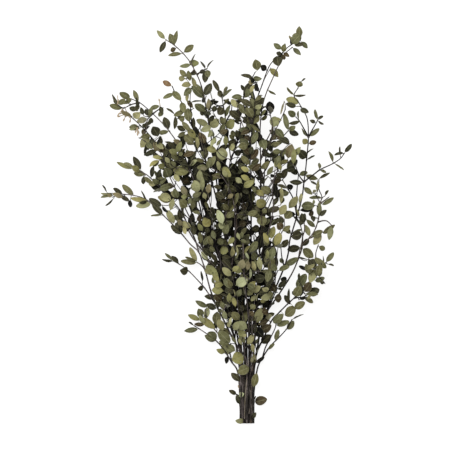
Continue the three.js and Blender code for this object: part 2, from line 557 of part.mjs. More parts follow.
/** Whether a place lies within the close foliage, seen from above. */
function inCrown(point) {
  const x = point.x / STEP + GRID_MIDDLE[0];
  const y = GRID_MIDDLE[1] - point.y / STEP;
  const i = CROWN.findIndex((row, k) => k < CROWN.length - 1 && y >= row[0] && y <= CROWN[k + 1][0]);
  if (i < 0) return false;
  const share = (y - CROWN[i][0]) / (CROWN[i + 1][0] - CROWN[i][0]);
  return x > mix(CROWN[i][1], CROWN[i + 1][1], share) && x < mix(CROWN[i][2], CROWN[i + 1][2], share);
}

/** The distance from a point to a straight piece. */
function distanceTo(point, a, b) {
  return new THREE.Line3(a, b).closestPointToPoint(point, true, new THREE.Vector3()).distanceTo(point);
}

/** Whether a point keeps a gap to every axis but one. */
function clearOfAxes(axes, point, gap, leftOut) {
  const reach = 2 * STEM_PIECE;
  return axes.every((axis) => {
    if (axis === leftOut) return true;
    for (let i = 0; i < axis.last; i++) {
      const [a, b] = [axis.points[i], axis.points[i + 1]];
      if (Math.abs(a.x - point.x) > reach || Math.abs(a.y - point.y) > reach) continue;
      if (distanceTo(point, a, b) < axis.radii[i] + gap) return false;
    }
    return true;
  });
}

/** Twigs that the rule adds along the stems, each where it meets nothing. */
function growTwigs(axes) {
  axes.filter((axis) => axis.isStem).forEach((stem) => {
    const every = TWIG_SPACING / stem.pieceLength;
    for (let place = stem.last * BARE_STEM, k = 0; place < stem.last - 1; place += every, k++) {
      const base = placeOn(stem, place);
      if (!inCrown(base.at)) continue;
      const draw = draws(stem.stem, k);
      const turn = draw() * Math.PI;
      const full = mix(TWIG_LENGTH[0], TWIG_LENGTH[1], draw());
      for (let attempt = 0; attempt < TWIG_TRIES; attempt++) {
        const length = full * (1 - TWIG_SHORTER * attempt);
        const lean = mix(TWIG_LEAN[0], TWIG_LEAN[1], ((attempt * 5) % LEAN_TURNS) / (LEAN_TURNS - 1));
        const away = awayFrom(base, turn + (k + attempt) * GOLDEN_ANGLE);
        const points = TWIG_PLACES.map((t) => base.at.clone()
          .addScaledVector(base.tangent, length * t * (Math.cos(lean) + TWIG_SWEEP[0] * t))
          .addScaledVector(away, length * t * (Math.sin(lean) + TWIG_SWEEP[1] * t)));
        const within = (p) => inCrown(p) && p.z > TWIG_LOWEST && p.z < CROWN_HEIGHT;
        if (!points.slice(1).every(within)) continue;
        const probes = evenly(points, TWIG_PROBE).slice(2);
        if (!probes.every((p) => clearOfAxes(axes, p, TWIG_RADIUS + TWIG_PROBE / 4, null))) continue;
        axes.push(makeAxis(stem.stem, evenly(points, TWIG_PIECE), TWIG_RADIUS, TWIG_TIP_RADIUS));
        break;
      }
    }
  });
}

// Where a blade has its corners, along it
const RINGS = [0.4, 0.74];
const KITE_RINGS = [0.5];

/** The leaf's half width at a share of its length, as a share of the widest. */
const OUTLINE = [[0, 0], [0.4, 0.96], [0.74, 0.82], [1, 0]];
function halfWidth(u) {
  const i = OUTLINE.findIndex((row, k) => k < OUTLINE.length - 1 && u <= OUTLINE[k + 1][0]);
  return mix(OUTLINE[i][1], OUTLINE[i + 1][1], (u - OUTLINE[i][0]) / (OUTLINE[i + 1][0] - OUTLINE[i][0]));
}

/** A leaf from its root, its direction, the way that its face looks, and its form. */
function makeLeaf(axis, at, way, face, form) {
  const along = way.clone().normalize();
  const normal = face.clone().addScaledVector(along, -face.dot(along)).normalize();
  const side = normal.clone().cross(along);
  const root = at.clone().addScaledVector(along, -ROOT_DEPTH);
  const length = form.length + ROOT_DEPTH;
  const leaf = { ...form, axis, stem: axis.stem, root, along, normal, side, length };
  leaf.middle = onLeaf(leaf, LEAF_MIDDLE, 0);
  return leaf;
}

/** A place on the leaf's middle sheet: u along it and v across it, from -1 to 1. */
function onLeaf(leaf, u, v, lift = 0) {
  const half = (halfWidth(u) * leaf.width) / 2;
  const rise = leaf.fold * Math.abs(v) * half - leaf.bend * leaf.length * u * u + lift;
  return leaf.root.clone().addScaledVector(leaf.along, u * leaf.length)
    .addScaledVector(leaf.side, v * half).addScaledVector(leaf.normal, rise);
}

const TEST_ROWS = [0.3, 0.45, 0.6, 0.75, 0.9, 1];
const TEST_PLACES = TEST_ROWS.flatMap((u) => [-1, -0.5, 0, 0.5, 1].map((v) => [u, v]));

/** Whether a leaf clears the surface, the stems and twigs, and the leaves that are there. */
function leafFits(leaf, axes, leaves) {
  const tests = TEST_PLACES.map(([u, v]) => onLeaf(leaf, u, v));
  const lift = (LEAF_THICKNESS / 2) * Math.abs(leaf.normal.z) + FLOOR_GAP;
  if (tests.some((p) => p.z < lift)) return false;
  const near = leaves.filter((other) =>
    other.middle.distanceTo(leaf.middle) < (leaf.length + other.length) * LEAF_MIDDLE + SHEET_GAP);
  const offset = new THREE.Vector3();
  for (const other of near) {
    for (const p of tests) {
      offset.subVectors(p, other.middle);
      const a = offset.dot(other.along) / (other.length * LEAF_REACH + LEAF_GAP);
      const b = offset.dot(other.side) / (other.width / 2 + LEAF_GAP);
      const c = offset.dot(other.normal) / SHEET_GAP;
      if (a * a + b * b + c * c < 1) return false;
    }
  }
  const mine = tests.filter((_, i) => TEST_PLACES[i][0] > 0.5);
  const others = tests.filter((_, i) => TEST_PLACES[i][0] <= 0.5);
  return mine.every((p) => clearOfAxes(axes, p, WOOD_GAP, null)) &&
    others.every((p) => clearOfAxes(axes, p, WOOD_GAP, leaf.axis));
}

/** The wood that a drawn leaf grows from, and where: the nearest from above, and rather the upper one. */
function woodNear(axes, root) {
  let best = { score: Infinity };
  axes.forEach((axis) => {
    const [away, place] = nearestFromAbove(axis, root.x, root.y);
    if (away > ROOT_REACH) return;
    const { at } = placeOn(axis, place);
    const score = away - UPPER_WOOD * at.z;
    if (score < best.score) best = { score, axis, at };
  });
  return best;
}

/** The leaves that show from above, each on the nearest wood and turned so that it shows as wide. */
function growShownLeaves(axes, leaves) {
  SHOWN_LEAVES.forEach(([rootX, rootY, tipX, tipY, shownSteps], index) => {
    const shown = shownSteps * STEP;
    if (shown < EDGE_ON_LEAF) return;
    const { axis, at } = woodNear(axes, onGrid([rootX, rootY], 0));
    if (!axis) return;
    const tip = onGrid([tipX, tipY], 0);
    const flat = Math.hypot(tip.x - at.x, tip.y - at.y);
    const full = Math.max(flat, Math.min(LEAF_LENGTH, flat * LEAF_SLACK));
    const width = Math.max(shown, Math.min(full, LEAF_LENGTH) * LEAF_WIDTH_SHARE * NARROWEST);
    const roll = Math.acos(Math.min(1, shown / width));
    const slope = Math.sqrt(Math.max(full * full - flat * flat, 0));
    const draw = draws(101, index);
    const [slopeSign, rollSign] = [draw() < LIFT_ODDS ? 1 : -1, draw() < 0.5 ? 1 : -1];
    const form = { width, fold: mix(...LEAF_FOLD, draw()), bend: mix(...LEAF_BEND, draw()) };
    form.kite = shown < KITE_LEAF;
    for (let attempt = 0; attempt < LEAF_TRIES; attempt++) {
      const shift = (attempt >> 1) * LEAF_LIFT * (attempt % 4 < 2 ? 1 : -1);
      const rise = slope * slopeSign * (attempt % 2 ? -1 : 1) + shift;
      const way = new THREE.Vector3(tip.x - at.x, tip.y - at.y, rise);
      form.length = way.length();
      const turned = roll * rollSign * (attempt % 3 === 2 ? -1 : 1);
      const level = UP.clone().addScaledVector(way, -way.z / form.length ** 2).normalize();
      const across = level.clone().cross(way).normalize();
      const face = level.multiplyScalar(Math.cos(turned)).addScaledVector(across, Math.sin(turned));
      const leaf = makeLeaf(axis, at, way, face, form);
      if (!leafFits(leaf, axes, leaves)) continue;
      leaves.push(leaf);
      return;
    }
  });
}

/** One leaf of a pair, which grows from a place on an axis, or nothing where none fits. */
function pairLeaf(axis, base, startAngle, draw, axes, leaves) {
  const length = LEAF_LENGTH * mix(...LEAF_SIZE, draw());
  const facing = draw();
  const spin = draw() * 2 - 1;
  const [fold, bend] = [mix(...LEAF_FOLD, draw()), mix(...LEAF_BEND, draw())];
  const form = { length, width: length * LEAF_WIDTH_SHARE, fold, bend, kite: true };
  for (let attempt = 0; attempt < LEAF_TRIES; attempt++) {
    const away = awayFrom(base, startAngle + attempt * GOLDEN_ANGLE * TRY_TURN);
    const open = mix(...LEAF_OPEN, facing) + (attempt % 3) * TRY_OPEN;
    const way = base.tangent.clone().multiplyScalar(Math.cos(open)).addScaledVector(away, Math.sin(open));
    const across = way.clone().cross(UP).normalize();
    const face = base.tangent.clone().multiplyScalar(1 - facing).addScaledVector(UP, facing + FACE_UP)
      .addScaledVector(across, spin * FACE_SPIN);
    const leaf = makeLeaf(axis, base.at, way, face, form);
    if (leafFits(leaf, axes, leaves)) return leaf;
  }
  return null;
}

/** Leaves in pairs down each stem and twig within the crown, each pair a quarter turn from the last. */
function growPairs(axes, leaves) {
  axes.forEach((axis, axisIndex) => {
    const every = PAIR_SPACING / axis.pieceLength;
    const lowest = axis.last * (axis.isStem ? BARE_STEM : BARE_TWIG);
    for (let place = axis.last - TIP_PLACE, pair = 0; place >= lowest; place -= every, pair++) {
      const base = placeOn(axis, place);
      if (!inCrown(base.at)) continue;
      const draw = draws(axisIndex, pair, 7);
      const start = pair * (Math.PI / 2) + draw() * PAIR_TURN;
      for (const half of [0, Math.PI]) {
        const leaf = pairLeaf(axis, base, start + half, draw, axes, leaves);
        if (leaf) leaves.push(leaf);
      }
    }
  });
}

/** The two flat leaves that lie on the surface at the ends of the two lowest twigs. */
function growRestLeaves(drawnTwigs, leaves) {
  REST_LEAVES.forEach(({ stem, twig, way }) => {
    const axis = drawnTwigs[stem][twig];
    const at = axis.points[axis.last].clone().setZ(LEAF_THICKNESS / 2);
    const form = { length: LEAF_LENGTH, width: LEAF_LENGTH * LEAF_WIDTH_SHARE, fold: 0, bend: 0 };
    leaves.push(makeLeaf(axis, at, new THREE.Vector3(...way, 0), UP, form));
  });
}

/** A closed tapering tube with a flat cut end and a blunt tip. */
function woodGeometry(axis, sides) {
  const positions = [];
  axis.points.forEach((point, i) => {
    for (let j = 0; j < sides; j++) {
      const angle = ((j + 0.5) / sides + 0.25) * 2 * Math.PI; // a flat side towards the surface
      const out = awayFrom({ tangent: axis.tangents[i], side: axis.sides[i] }, angle);
      const p = point.clone().addScaledVector(out, axis.radii[i]);
      positions.push(p.x, p.y, p.z);
    }
  });
  const tip = axis.points[axis.last].clone().addScaledVector(axis.tangents[axis.last], TIP_LENGTH);
  positions.push(tip.x, tip.y, tip.z);
  const faces = [];
  const rings = axis.points.length;
  for (let j = 1; j < sides - 1; j++) faces.push(0, j + 1, j);
  for (let i = 0; i < rings; i++) {
    for (let j = 0; j < sides; j++) {
      const [a, b] = [i * sides + j, i * sides + ((j + 1) % sides)];
      if (i === rings - 1) faces.push(a, b, rings * sides);
      else faces.push(a, b, b + sides, a, b + sides, a + sides);
    }
  }
  return closedGeometry(positions, faces);
}

/** A leaf blade: full thickness at its narrow root, a pointed tip, and both faces split alike. */
function bladeGeometry(leaf) {
  const rings = leaf.kite ? KITE_RINGS : RINGS;
  const places = [onLeaf(leaf, 0, 0, LEAF_THICKNESS / 2), onLeaf(leaf, 0, 0, -LEAF_THICKNESS / 2)];
  rings.forEach((u) => {
    for (const [v, lift] of [[-1, 0.5], [1, 0.5], [1, -0.5], [-1, -0.5]]) {
      places.push(onLeaf(leaf, u, v, lift * LEAF_THICKNESS));
    }
  });
  places.push(onLeaf(leaf, 1, 0));
  // the root's upper and lower corner, then the upper two and the lower two of the first ring
  const [upper, lower, a, b, c, d] = [0, 1, 2, 3, 4, 5];
  const faces = [upper, a, b, lower, c, d, upper, b, c, upper, c, lower, upper, d, a, upper, lower, d];
  if (rings.length > 1) {
    const [e, f, g, h] = [6, 7, 8, 9];
    faces.push(a, f, b, a, e, f, d, c, g, d, g, h, b, g, c, b, f, g, a, h, e, a, d, h);
  }
  const tip = places.length - 1;
  for (let j = 0; j < 4; j++) {
    faces.push(tip, tip - 4 + ((j + 1) % 4), tip - 4 + j);
  }
  return closedGeometry(places.flatMap((place) => place.toArray()), faces);
}

function closedGeometry(positions, faces) {
  return new THREE.BufferGeometry()
    .setAttribute("position", new THREE.Float32BufferAttribute(positions, 3))
    .setIndex(faces);
}

const wasm = await Module();
wasm.setup();

/** A closed geometry as a solid that can be joined to others. */
function solidOf(geometry) {
  const merged = mergeVertices(geometry, 1e-4);
  return new wasm.Manifold(new wasm.Mesh({
    numProp: 3,
    vertProperties: merged.attributes.position.array,
    triVerts: new Uint32Array(merged.index.array),
  }));
}

/** One mesh of all the geometries, joined. */
function joined(geometries) {
  const whole = geometries.map(solidOf).reduce((sum, next) => sum.add(next));
  const { numProp, numVert, vertProperties, triVerts } = whole.getMesh();
  const positions = [];
  for (let i = 0; i < numVert * numProp; i += numProp) {
    positions.push(...vertProperties.subarray(i, i + 3));
  }
  return closedGeometry(positions, [...triVerts]);
}

const LEAF_COLOURS = ["#5d6448", "#6b7354", "#545b45", "#747a58"];

function buildBunch() {
  const axes = [];
  const drawnTwigs = STEMS.map((spec, index) => {
    const stem = makeAxis(index, stemLine(spec), STEM_RADIUS, STEM_TIP_RADIUS);
    stem.isStem = true;
    axes.push(stem);
    return spec.twigs.map((drawn) => {
      const twig = makeAxis(index, twigLine(stem, drawn), TWIG_RADIUS, TWIG_TIP_RADIUS);
      axes.push(twig);
      return twig;
    });
  });
  growTwigs(axes);
  const leaves = [];
  growRestLeaves(drawnTwigs, leaves);
  growShownLeaves(axes, leaves);
  growPairs(axes, leaves);

  const bunch = new THREE.Group();
  STEMS.forEach((spec, index) => {
    const wood = axes.filter((axis) => axis.stem === index);
    const foliage = leaves.filter((leaf) => leaf.stem === index);
    const geometry = joined([
      ...wood.map((axis) => woodGeometry(axis, axis.isStem ? STEM_SIDES : TWIG_SIDES)),
      ...foliage.map(bladeGeometry),
    ]);
    const material = new THREE.MeshStandardMaterial({
      color: LEAF_COLOURS[index % LEAF_COLOURS.length],
      roughness: 0.75,
      metalness: 0,
    });
    const mesh = new THREE.Mesh(geometry, material);
    mesh.name = spec.name;
    bunch.add(mesh);
  });
  return bunch;
}

export default buildBunch();
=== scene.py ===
"""A bunch of dried eucalyptus lying on a flat surface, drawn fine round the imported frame.

Growth is worked out in millimetres, with X to the right, Y towards the tips and Z up. Meshes are in metres.
Each leafy stem has two pieces here, its wood and its foliage, and both stand for that stem's solid.
"""
from __future__ import annotations

import logging
import math
from collections.abc import Iterable, Sequence
from dataclasses import dataclass, field
from enum import Enum
from typing import NamedTuple

import bpy
import numpy as np
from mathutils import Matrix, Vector

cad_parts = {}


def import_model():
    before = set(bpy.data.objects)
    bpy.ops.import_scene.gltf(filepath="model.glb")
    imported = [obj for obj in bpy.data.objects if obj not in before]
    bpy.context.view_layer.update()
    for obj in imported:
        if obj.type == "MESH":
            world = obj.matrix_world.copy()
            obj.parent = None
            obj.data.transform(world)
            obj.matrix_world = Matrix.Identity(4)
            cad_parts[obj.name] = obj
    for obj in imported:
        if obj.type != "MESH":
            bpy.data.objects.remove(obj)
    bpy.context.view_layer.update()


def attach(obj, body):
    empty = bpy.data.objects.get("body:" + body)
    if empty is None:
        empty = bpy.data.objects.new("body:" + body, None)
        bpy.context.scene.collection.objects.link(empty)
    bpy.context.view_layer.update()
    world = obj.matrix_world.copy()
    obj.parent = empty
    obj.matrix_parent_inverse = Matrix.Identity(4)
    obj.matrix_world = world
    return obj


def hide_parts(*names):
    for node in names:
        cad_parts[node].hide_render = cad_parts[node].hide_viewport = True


Array = np.ndarray
LOG = logging.getLogger("eucalyptus")

# Driving dimensions, in millimetres
BUNCH_LENGTH = 650  # cut ends to the furthest leaf tip
STEM_RADIUS = 2
STEM_TIP_RADIUS = 0.75
TWIG_RADIUS = 1.05
TWIG_TIP_RADIUS = 0.6
STEM_PITCH = 4.3  # between neighbours in the heap of cut ends
LEAF_LENGTH = 22
LEAF_WIDTH_SHARE = 0.42
LEAF_THICKNESS = 0.72  # of the solid's blades; these are thinner
CROWN_HEIGHT = 168
FLOOR_GAP = 0.3
METRES = 0.001

# The drawing grid: places below are in its steps, x to the right and y down from the tips.
GRID_LENGTH = 396
STEP = BUNCH_LENGTH / GRID_LENGTH
GRID_MIDDLE = (225.8, 227.3)
CUT_ENDS = (247, 424)


class Tone(Enum):
    """The colours of dried leaves and wood, in 8-bit sRGB."""

    GREEN = (95, 94, 62)
    PALE = (145, 143, 102)
    LIGHT = (178, 178, 135)
    # DARK is partly the leaves' own dark colour and partly painted shade on leaves turned from the light; the
    # near-black tone is painted shade, for the leaves in the dark gaps deep in the bunch.
    DARK = (56, 54, 36)
    SHADE_BLACK = (9, 8, 5)
    YELLOW = (134, 131, 82)
    RUST = (114, 86, 60)
    BROWN = (70, 58, 38)
    TAN = (132, 124, 94)
    BARK = (33, 28, 24)
    GREY_BARK = (94, 85, 83)
    RED_BARK = (82, 69, 57)
    PALE_BARK = (126, 117, 98)
    CUT_WOOD = (120, 102, 76)
    BUD = (165, 146, 120)

    def linear(self) -> Array:
        """The colour as linear RGB."""
        share = np.array(self.value) / 255
        return np.where(share <= 0.04045, share / 12.92, ((share + 0.055) / 1.055) ** 2.4)


LETTERS = {"g": Tone.GREEN, "p": Tone.PALE, "d": Tone.DARK, "y": Tone.YELLOW, "b": Tone.BROWN, "t": Tone.TAN,
           "w": Tone.LIGHT, "k": Tone.SHADE_BLACK, "o": Tone.RUST}
BARKS = {"k": Tone.BARK, "g": Tone.GREY_BARK, "r": Tone.RED_BARK, "p": Tone.PALE_BARK}


def table(text: str) -> Array:
    """The numbers of a drawn table, in which commas part the rows."""
    return np.array([row.split() for row in text.split(",")], float)


@dataclass(frozen=True)
class StemPlan:
    """One leafy stem as drawn.

    Its place in the heap comes first, then its heights at even places up the free part, and its way on the
    grid. A twig is its own way on the grid, and the height of its tip.
    """

    name: str
    row: int
    place: float
    held: int
    heights: tuple[float, ...]
    route: str
    twigs: Sequence[str] = ()
    bark: Tone = Tone.BARK


STEMS = [
    StemPlan(
        "leafy_stem_left_lowest", row=0, place=-2.5, held=2, heights=(6, 13, 17), bark=Tone.GREY_BARK,
        route="237 370, 232 363, 225 352, 217 342, 205 333, 194 326",
        twigs=[
            "232 363, 229 351, 222 339, 214 329, 207 319, 205 310, 26",
            "241 398, 238 396, 235 394, 8",
        ],
    ),
    StemPlan(
        "leafy_stem_left_under", row=0, place=-1.5, held=4, heights=(12, 26, 34),
        route="241.5 350, 237 322, 231 294, 222 264, 212 240, 201 216, 189 193, 178 172, 168 160, "
              "160 148, 152 138, 140 125, 127 113",
        twigs=[
            "195 204, 186 199, 174 194, 163 190, 0.9",
            "152 138, 148 142, 146 146, 24",
            "168 160, 160 156, 152 152, 22",
        ],
    ),
    StemPlan(
        "leafy_stem_middle_under", row=0, place=-0.5, held=4, heights=(10, 18, 22),
        route="245 350, 242 320, 238 290, 235 260, 233 230, 232 204, 233 180",
    ),
    StemPlan(
        "leafy_stem_right_middle", row=0, place=0.5, held=4, heights=(14, 32, 42), bark=Tone.RED_BARK,
        route="251.5 350, 258 330, 267 312, 276 299, 284 287, 292.5 273, 298 260, 301.5 246, 309.5 238, "
              "315 230, 319 217, 320 204, 322 197, 319 189, 319 181",
        twigs=[
            "301.5 246, 304 237, 305 230, 304 221, 46",
            "317 222, 322 220.5, 327 221, 332 225.5, 34",
            "309.5 238, 316 236, 323 232, 30",
            "320 204, 325 200, 329 197, 38",
            "298 260, 302 249, 303 236, 301 226, 0.9",
        ],
    ),
    StemPlan(
        "leafy_stem_right_lower", row=0, place=1.5, held=4, heights=(12, 28, 34),
        route="258 350, 264 338, 273 319, 278 314, 286 306, 294.5 298, 303 290, 310 281, 315 272, "
              "321 266, 327 262",
        twigs=[
            "310 281, 310 274, 308 268, 26",
            "313 276, 317 264, 316 254, 318.5 245, 36",
            "294.5 298, 304 297, 312 291, 18",
        ],
    ),
    StemPlan(
        "leafy_stem_right_lowest", row=0, place=2.5, held=3, heights=(7, 13, 18),
        route="258.5 366, 262.5 358.5, 270 347, 279 338, 287 329, 292 320",
        twigs=[
            "262.5 358.5, 266 348, 272 336, 276 326, 276 319, 24",
        ],
    ),
    StemPlan(
        "leafy_stem_left_middle", row=1, place=-2, held=4, heights=(24, 48, 60), bark=Tone.GREY_BARK,
        route="236 345, 229 318, 219 290, 209 262, 198 236, 187 212, 177 192, 169 175, 163 158",
    ),
    StemPlan(
        "leafy_stem_top_left", row=1, place=-1, held=4, heights=(30, 66, 86), bark=Tone.RED_BARK,
        route="240 340, 235 305, 229 265, 223 225, 217 185, 213 150, 209 125, 206 108, 204 96, 200 82, "
              "196 73, 190 62, 183 53.5, 175 46, 166 40",
        twigs=[
            "197 75, 202 71, 207 69, 92",
            "194 70, 189 76, 186 79, 76",
        ],
    ),
    StemPlan(
        "leafy_stem_top_middle", row=1, place=0, held=4, heights=(34, 78, 104),
        route="246.5 340, 244 300, 240 255, 236 210, 232 170, 228 138, 225 116, 222 98",
        twigs=[
            "226 122, 231 112, 232 106, 100",
            "223.5 106, 218 106, 214 104, 96",
            "231 160, 238 140, 241 122, 96",
        ],
    ),
    StemPlan(
        "leafy_stem_right_inner", row=1, place=1, held=4, heights=(34, 74, 94), bark=Tone.GREY_BARK,
        route="252 340, 256 300, 259 260, 262 220, 264 180, 266 156, 270 140, 276 129, 281 119, 285 110",
        twigs=[
            "270 140, 281 138, 288 131, 88",
            "263 195, 274 180, 279 165, 96",
        ],
    ),
    StemPlan(
        "leafy_stem_right_tall", row=1, place=2, held=4, heights=(26, 52, 66),
        route="258 345, 262 325, 268 308, 277 285, 284.5 267, 288 255, 290 240, 293.5 228, 297 216, "
              "302 198, 304 182, 306 167, 307 155, 308.5 137, 307 118, 303 110, 299 103, 294 95.5, 298 88",
        twigs=[
            "308.5 137, 304 129, 299.5 121, 296 117, 60",
            "308.5 137, 311 132, 314.5 126, 317.5 120.5, 70",
            "304 182, 310 177, 315 173.5, 319.5 170, 333 163.5, 341 158, 344.5 153, 50",
            "304 182, 299.5 176, 296 167, 60",
            "297 216, 293 198, 287 187.5, 282.5 180, 60",
            "284.5 267, 282 258, 281 248, 44",
        ],
    ),
    StemPlan(
        "leafy_stem_left_upper", row=2, place=-1.5, held=4, heights=(40, 86, 96), bark=Tone.GREY_BARK,
        route="238 340, 231 305, 222 268, 212 232, 201 200, 190 170, 180 147, 169 131, 163 124, 153 114, "
              "140 103, 131 99",
        twigs=[
            "153 114, 160 109, 163 108, 98",
            "153 114, 149 118, 148 119, 90",
            "140 103, 132 105, 123 109, 88",
        ],
    ),
    StemPlan(
        "leafy_stem_upper_left", row=2, place=-0.5, held=4, heights=(50, 108, 124),
        route="243 338, 238 298, 230 255, 220 212, 209 172, 198 140, 187 116, 182 103, 176 95, 172.5 87",
        twigs=[
            "192 126, 191 112, 190 103, 124",
            "187 116, 180 118, 175 115, 116",
        ],
    ),
    StemPlan(
        "leafy_stem_top_right", row=2, place=0.5, held=4, heights=(56, 124, 148),
        route="249.5 335, 250.5 290, 251 245, 251 200, 250 160, 252 130, 255 108, 258 96, 261 88, "
              "266 74, 271 64, 279 57, 286 49.5, 292 45",
        twigs=[
            "252.5 126, 246 112, 243 101, 245 92, 134",
            "256 104, 253 92, 251 82, 255 73, 136",
        ],
    ),
    StemPlan(
        "leafy_stem_upper_right", row=2, place=1.5, held=4, heights=(48, 104, 122), bark=Tone.RED_BARK,
        route="255 335, 258 290, 260 245, 261 200, 260.5 160, 260 130, 262 108, 266 94, 272 80, 278 67, "
              "284 55, 292 48",
        twigs=[
            "260.5 160, 266 142, 272 128, 270 114, 98",
        ],
    ),
    StemPlan(
        "leafy_stem_left_long", row=3, place=0, held=4, heights=(35, 32, 14), bark=Tone.GREY_BARK,
        route="246 359, 237 346, 230 333, 224 321, 218.5 310, 214 300, 210 289, 205 269.5, 202.5 262, "
              "198.5 252, 190 244, 182.5 235, 170 222, 164 216, 152 204, 143 198, 132 195, 119 194",
        twigs=[
            "216 305, 211 297, 204 287, 197 279.5, 189 271.5, 182 266, 174 261.5, 12",
            "205 269.5, 201 265, 197 262.5, 26",
            "198.5 252, 193 240, 188 229, 180 212, 168 197, 156 184, 147 175, 139 170.5, 133 167, 26",
        ],
    ),
]


class DrawnLeaf(NamedTuple):
    """A leaf as drawn: the grid places of its root and its tip, how wide it shows there, and its tone."""

    root: tuple[float, float]
    tip: tuple[float, float]
    width: float
    tone: Tone


def drawn_leaves(*texts: str) -> list[DrawnLeaf]:
    """Reads drawn leaves.

    Args:
        texts: tables, in which a row is the root, the tip, the width and the tone's letter.

    Returns:
        The leaves, in the tables' order.
    """
    leaves = []
    for row in ",".join(texts).split(","):
        *numbers, letter = row.split()
        root_x, root_y, tip_x, tip_y, width = map(float, numbers)
        leaves.append(DrawnLeaf((root_x, root_y), (tip_x, tip_y), width, LETTERS[letter]))
    return leaves


TOP_LEFT_LEAVES = """
165 40 156.5 31 4.5 p, 166 40 160.5 53 5 d, 175 46.5 169 34 6.5 g, 174.5 46 177 31 4 g,
177 48 170.5 51 4.5 b, 183 53 194 45.5 6 g, 183 54 168 55 4 g, 191 63 194.5 53 1.5 d, 192 69 194 60 9 y,
190 66 179.5 66.5 4 p, 197 73 205 70 4 d, 205.5 69 201 60.5 2.5 d, 207 69 212.5 59 1.8 d,
207 70 209 78 5.5 g, 206 71 205.5 83 6 d, 187 77 179.5 70 4.5 g, 186 78 178 79 5 p, 190 81 189 70.5 5 g,
191 85 181.5 85.5 6 p, 195 88 193 77 3.5 p, 203.5 99 192 85.5 7 g, 192 88 184.5 95.5 6 g,
204 96.5 211.5 83.5 7 d, 172.5 87 163 81.5 5 o, 174.5 94 163 98.5 4 g, 173 92 181 100.5 6 g,
181 102 184.5 112 6 g, 185 111 174 116.5 5 g, 175 115 166.5 108 2 d, 175 116 175.5 129.5 4 d,
184.5 118 178 119 5 d, 187 102 189 91 3 p, 190.5 121 188.5 108.5 7 g, 191 103 201.5 101.5 1.5 d,
207 112 195 104 7 g, 208.5 110 209.5 99.5 4 t, 208 126 196.5 119.5 6 p, 210 128 219 119.5 8 p,
211 127 201 130.5 6 w, 219 92 213.5 80 4 d, 222.5 99 219 91 5 d, 223 95 227 87 2 g,
223.5 105 228.5 99 2.5 g, 224.5 107 218.5 114.5 8 d, 226 118 229 105 4 g, 214 112 214 106 6 d,
228 129 234.5 120.5 8 y, 241 123 233 120.5 2.5 d, 246 124 242 116 2 d
"""
LEFT_UPPER_LEAVES = """
118 105 113 94 3 d, 131 99 120 92.5 6 g, 122 109 110 105 5.5 g, 130 103 119 102 4 g,
138.5 102 133.5 90 4.5 g, 138.5 103 136.5 112 4.5 d, 132.5 118 140 112 7 w, 148 118 136.5 122 6 t,
148.5 118 151 107.5 5 p, 150 109 160 106 4 g, 160 107 163.5 114 4.5 d, 163 111 159 117 4.5 g,
139.5 128 128.5 126 6 g, 158 136 153 126 9 d, 150 136 140 147 8 p, 169 131 164.5 117 7 d,
169 131 159.5 134 4 g, 162 143.5 159.5 136 4 d, 175 147 165.5 141 3.5 d, 166 152 154 142 8 p,
152 151 144 155 4.5 d, 152 152 159.5 159 4.5 d, 148 150 146 143 4 d
"""
LEFT_LEAVES = """
140.5 169 132.5 156.5 6 d, 131.5 168.5 116 162.5 4 y, 135 167 124 163 3.5 p, 140 172 131.5 167 6 y,
146.5 174.5 133 172 6 g, 143.5 176 142.5 184 4 d, 144 177 152.5 183.5 4 g, 156 185 148 183 5 w,
157 178 154.5 170.5 2.5 g, 157 178 161 169 3.5 d, 168.5 177 165 167.5 9.5 g, 166 167 158 165.5 5 y,
189.5 171.5 173 170.5 9 y, 198.5 193 194 181 10 p, 160.5 194.5 171 200 8 p, 170.5 210 172.5 200 4 w,
187 207 179.5 200.5 8 g, 191 227 181 223 6 p, 210 220 202.5 225 9 y, 223 225 218 209.5 7 p,
223 220 221 229 6 p, 201 244.5 199.5 232 5 p, 229 252 219.5 249 8 y, 208 261 201.5 251 4 w,
107 193 102 185 1.5 d, 111.5 193 100.5 193.5 2 p, 113 195 100 196.5 3 g, 113.5 198 106.5 206.5 1.5 d,
123 194 112.5 188.5 4 d, 133 194.5 121.5 185 5.5 g, 118 195 129 201 4 d, 147 201 130 199 4.5 y,
130 200 130.5 207 4 k, 147 199.5 141 190 1.8 d, 151.5 204 135.5 205.5 6 p, 161 206 149 198 6 d,
163 215 152.5 203.5 5.5 d, 162 215 150.5 216 1.8 g, 174 223 167 210 6 p, 182 235 171 225.5 5.5 d,
183 234 175 222.5 4.5 d, 197.5 262 189.5 247.5 5 p, 196 261 185 257.5 2 g, 197 263.5 180.5 261.5 5 g,
206 266 217 273.5 7 y, 212 273 219.5 282 5 y, 173.5 261.5 164 253.5 2.5 g, 173 261.5 162 259 3 d,
179 264.5 172 255.5 4 d, 189 271.5 180.5 270 8 d, 202.5 283 200.5 271.5 1.8 d, 205 287.5 197.5 288.5 5 d
"""
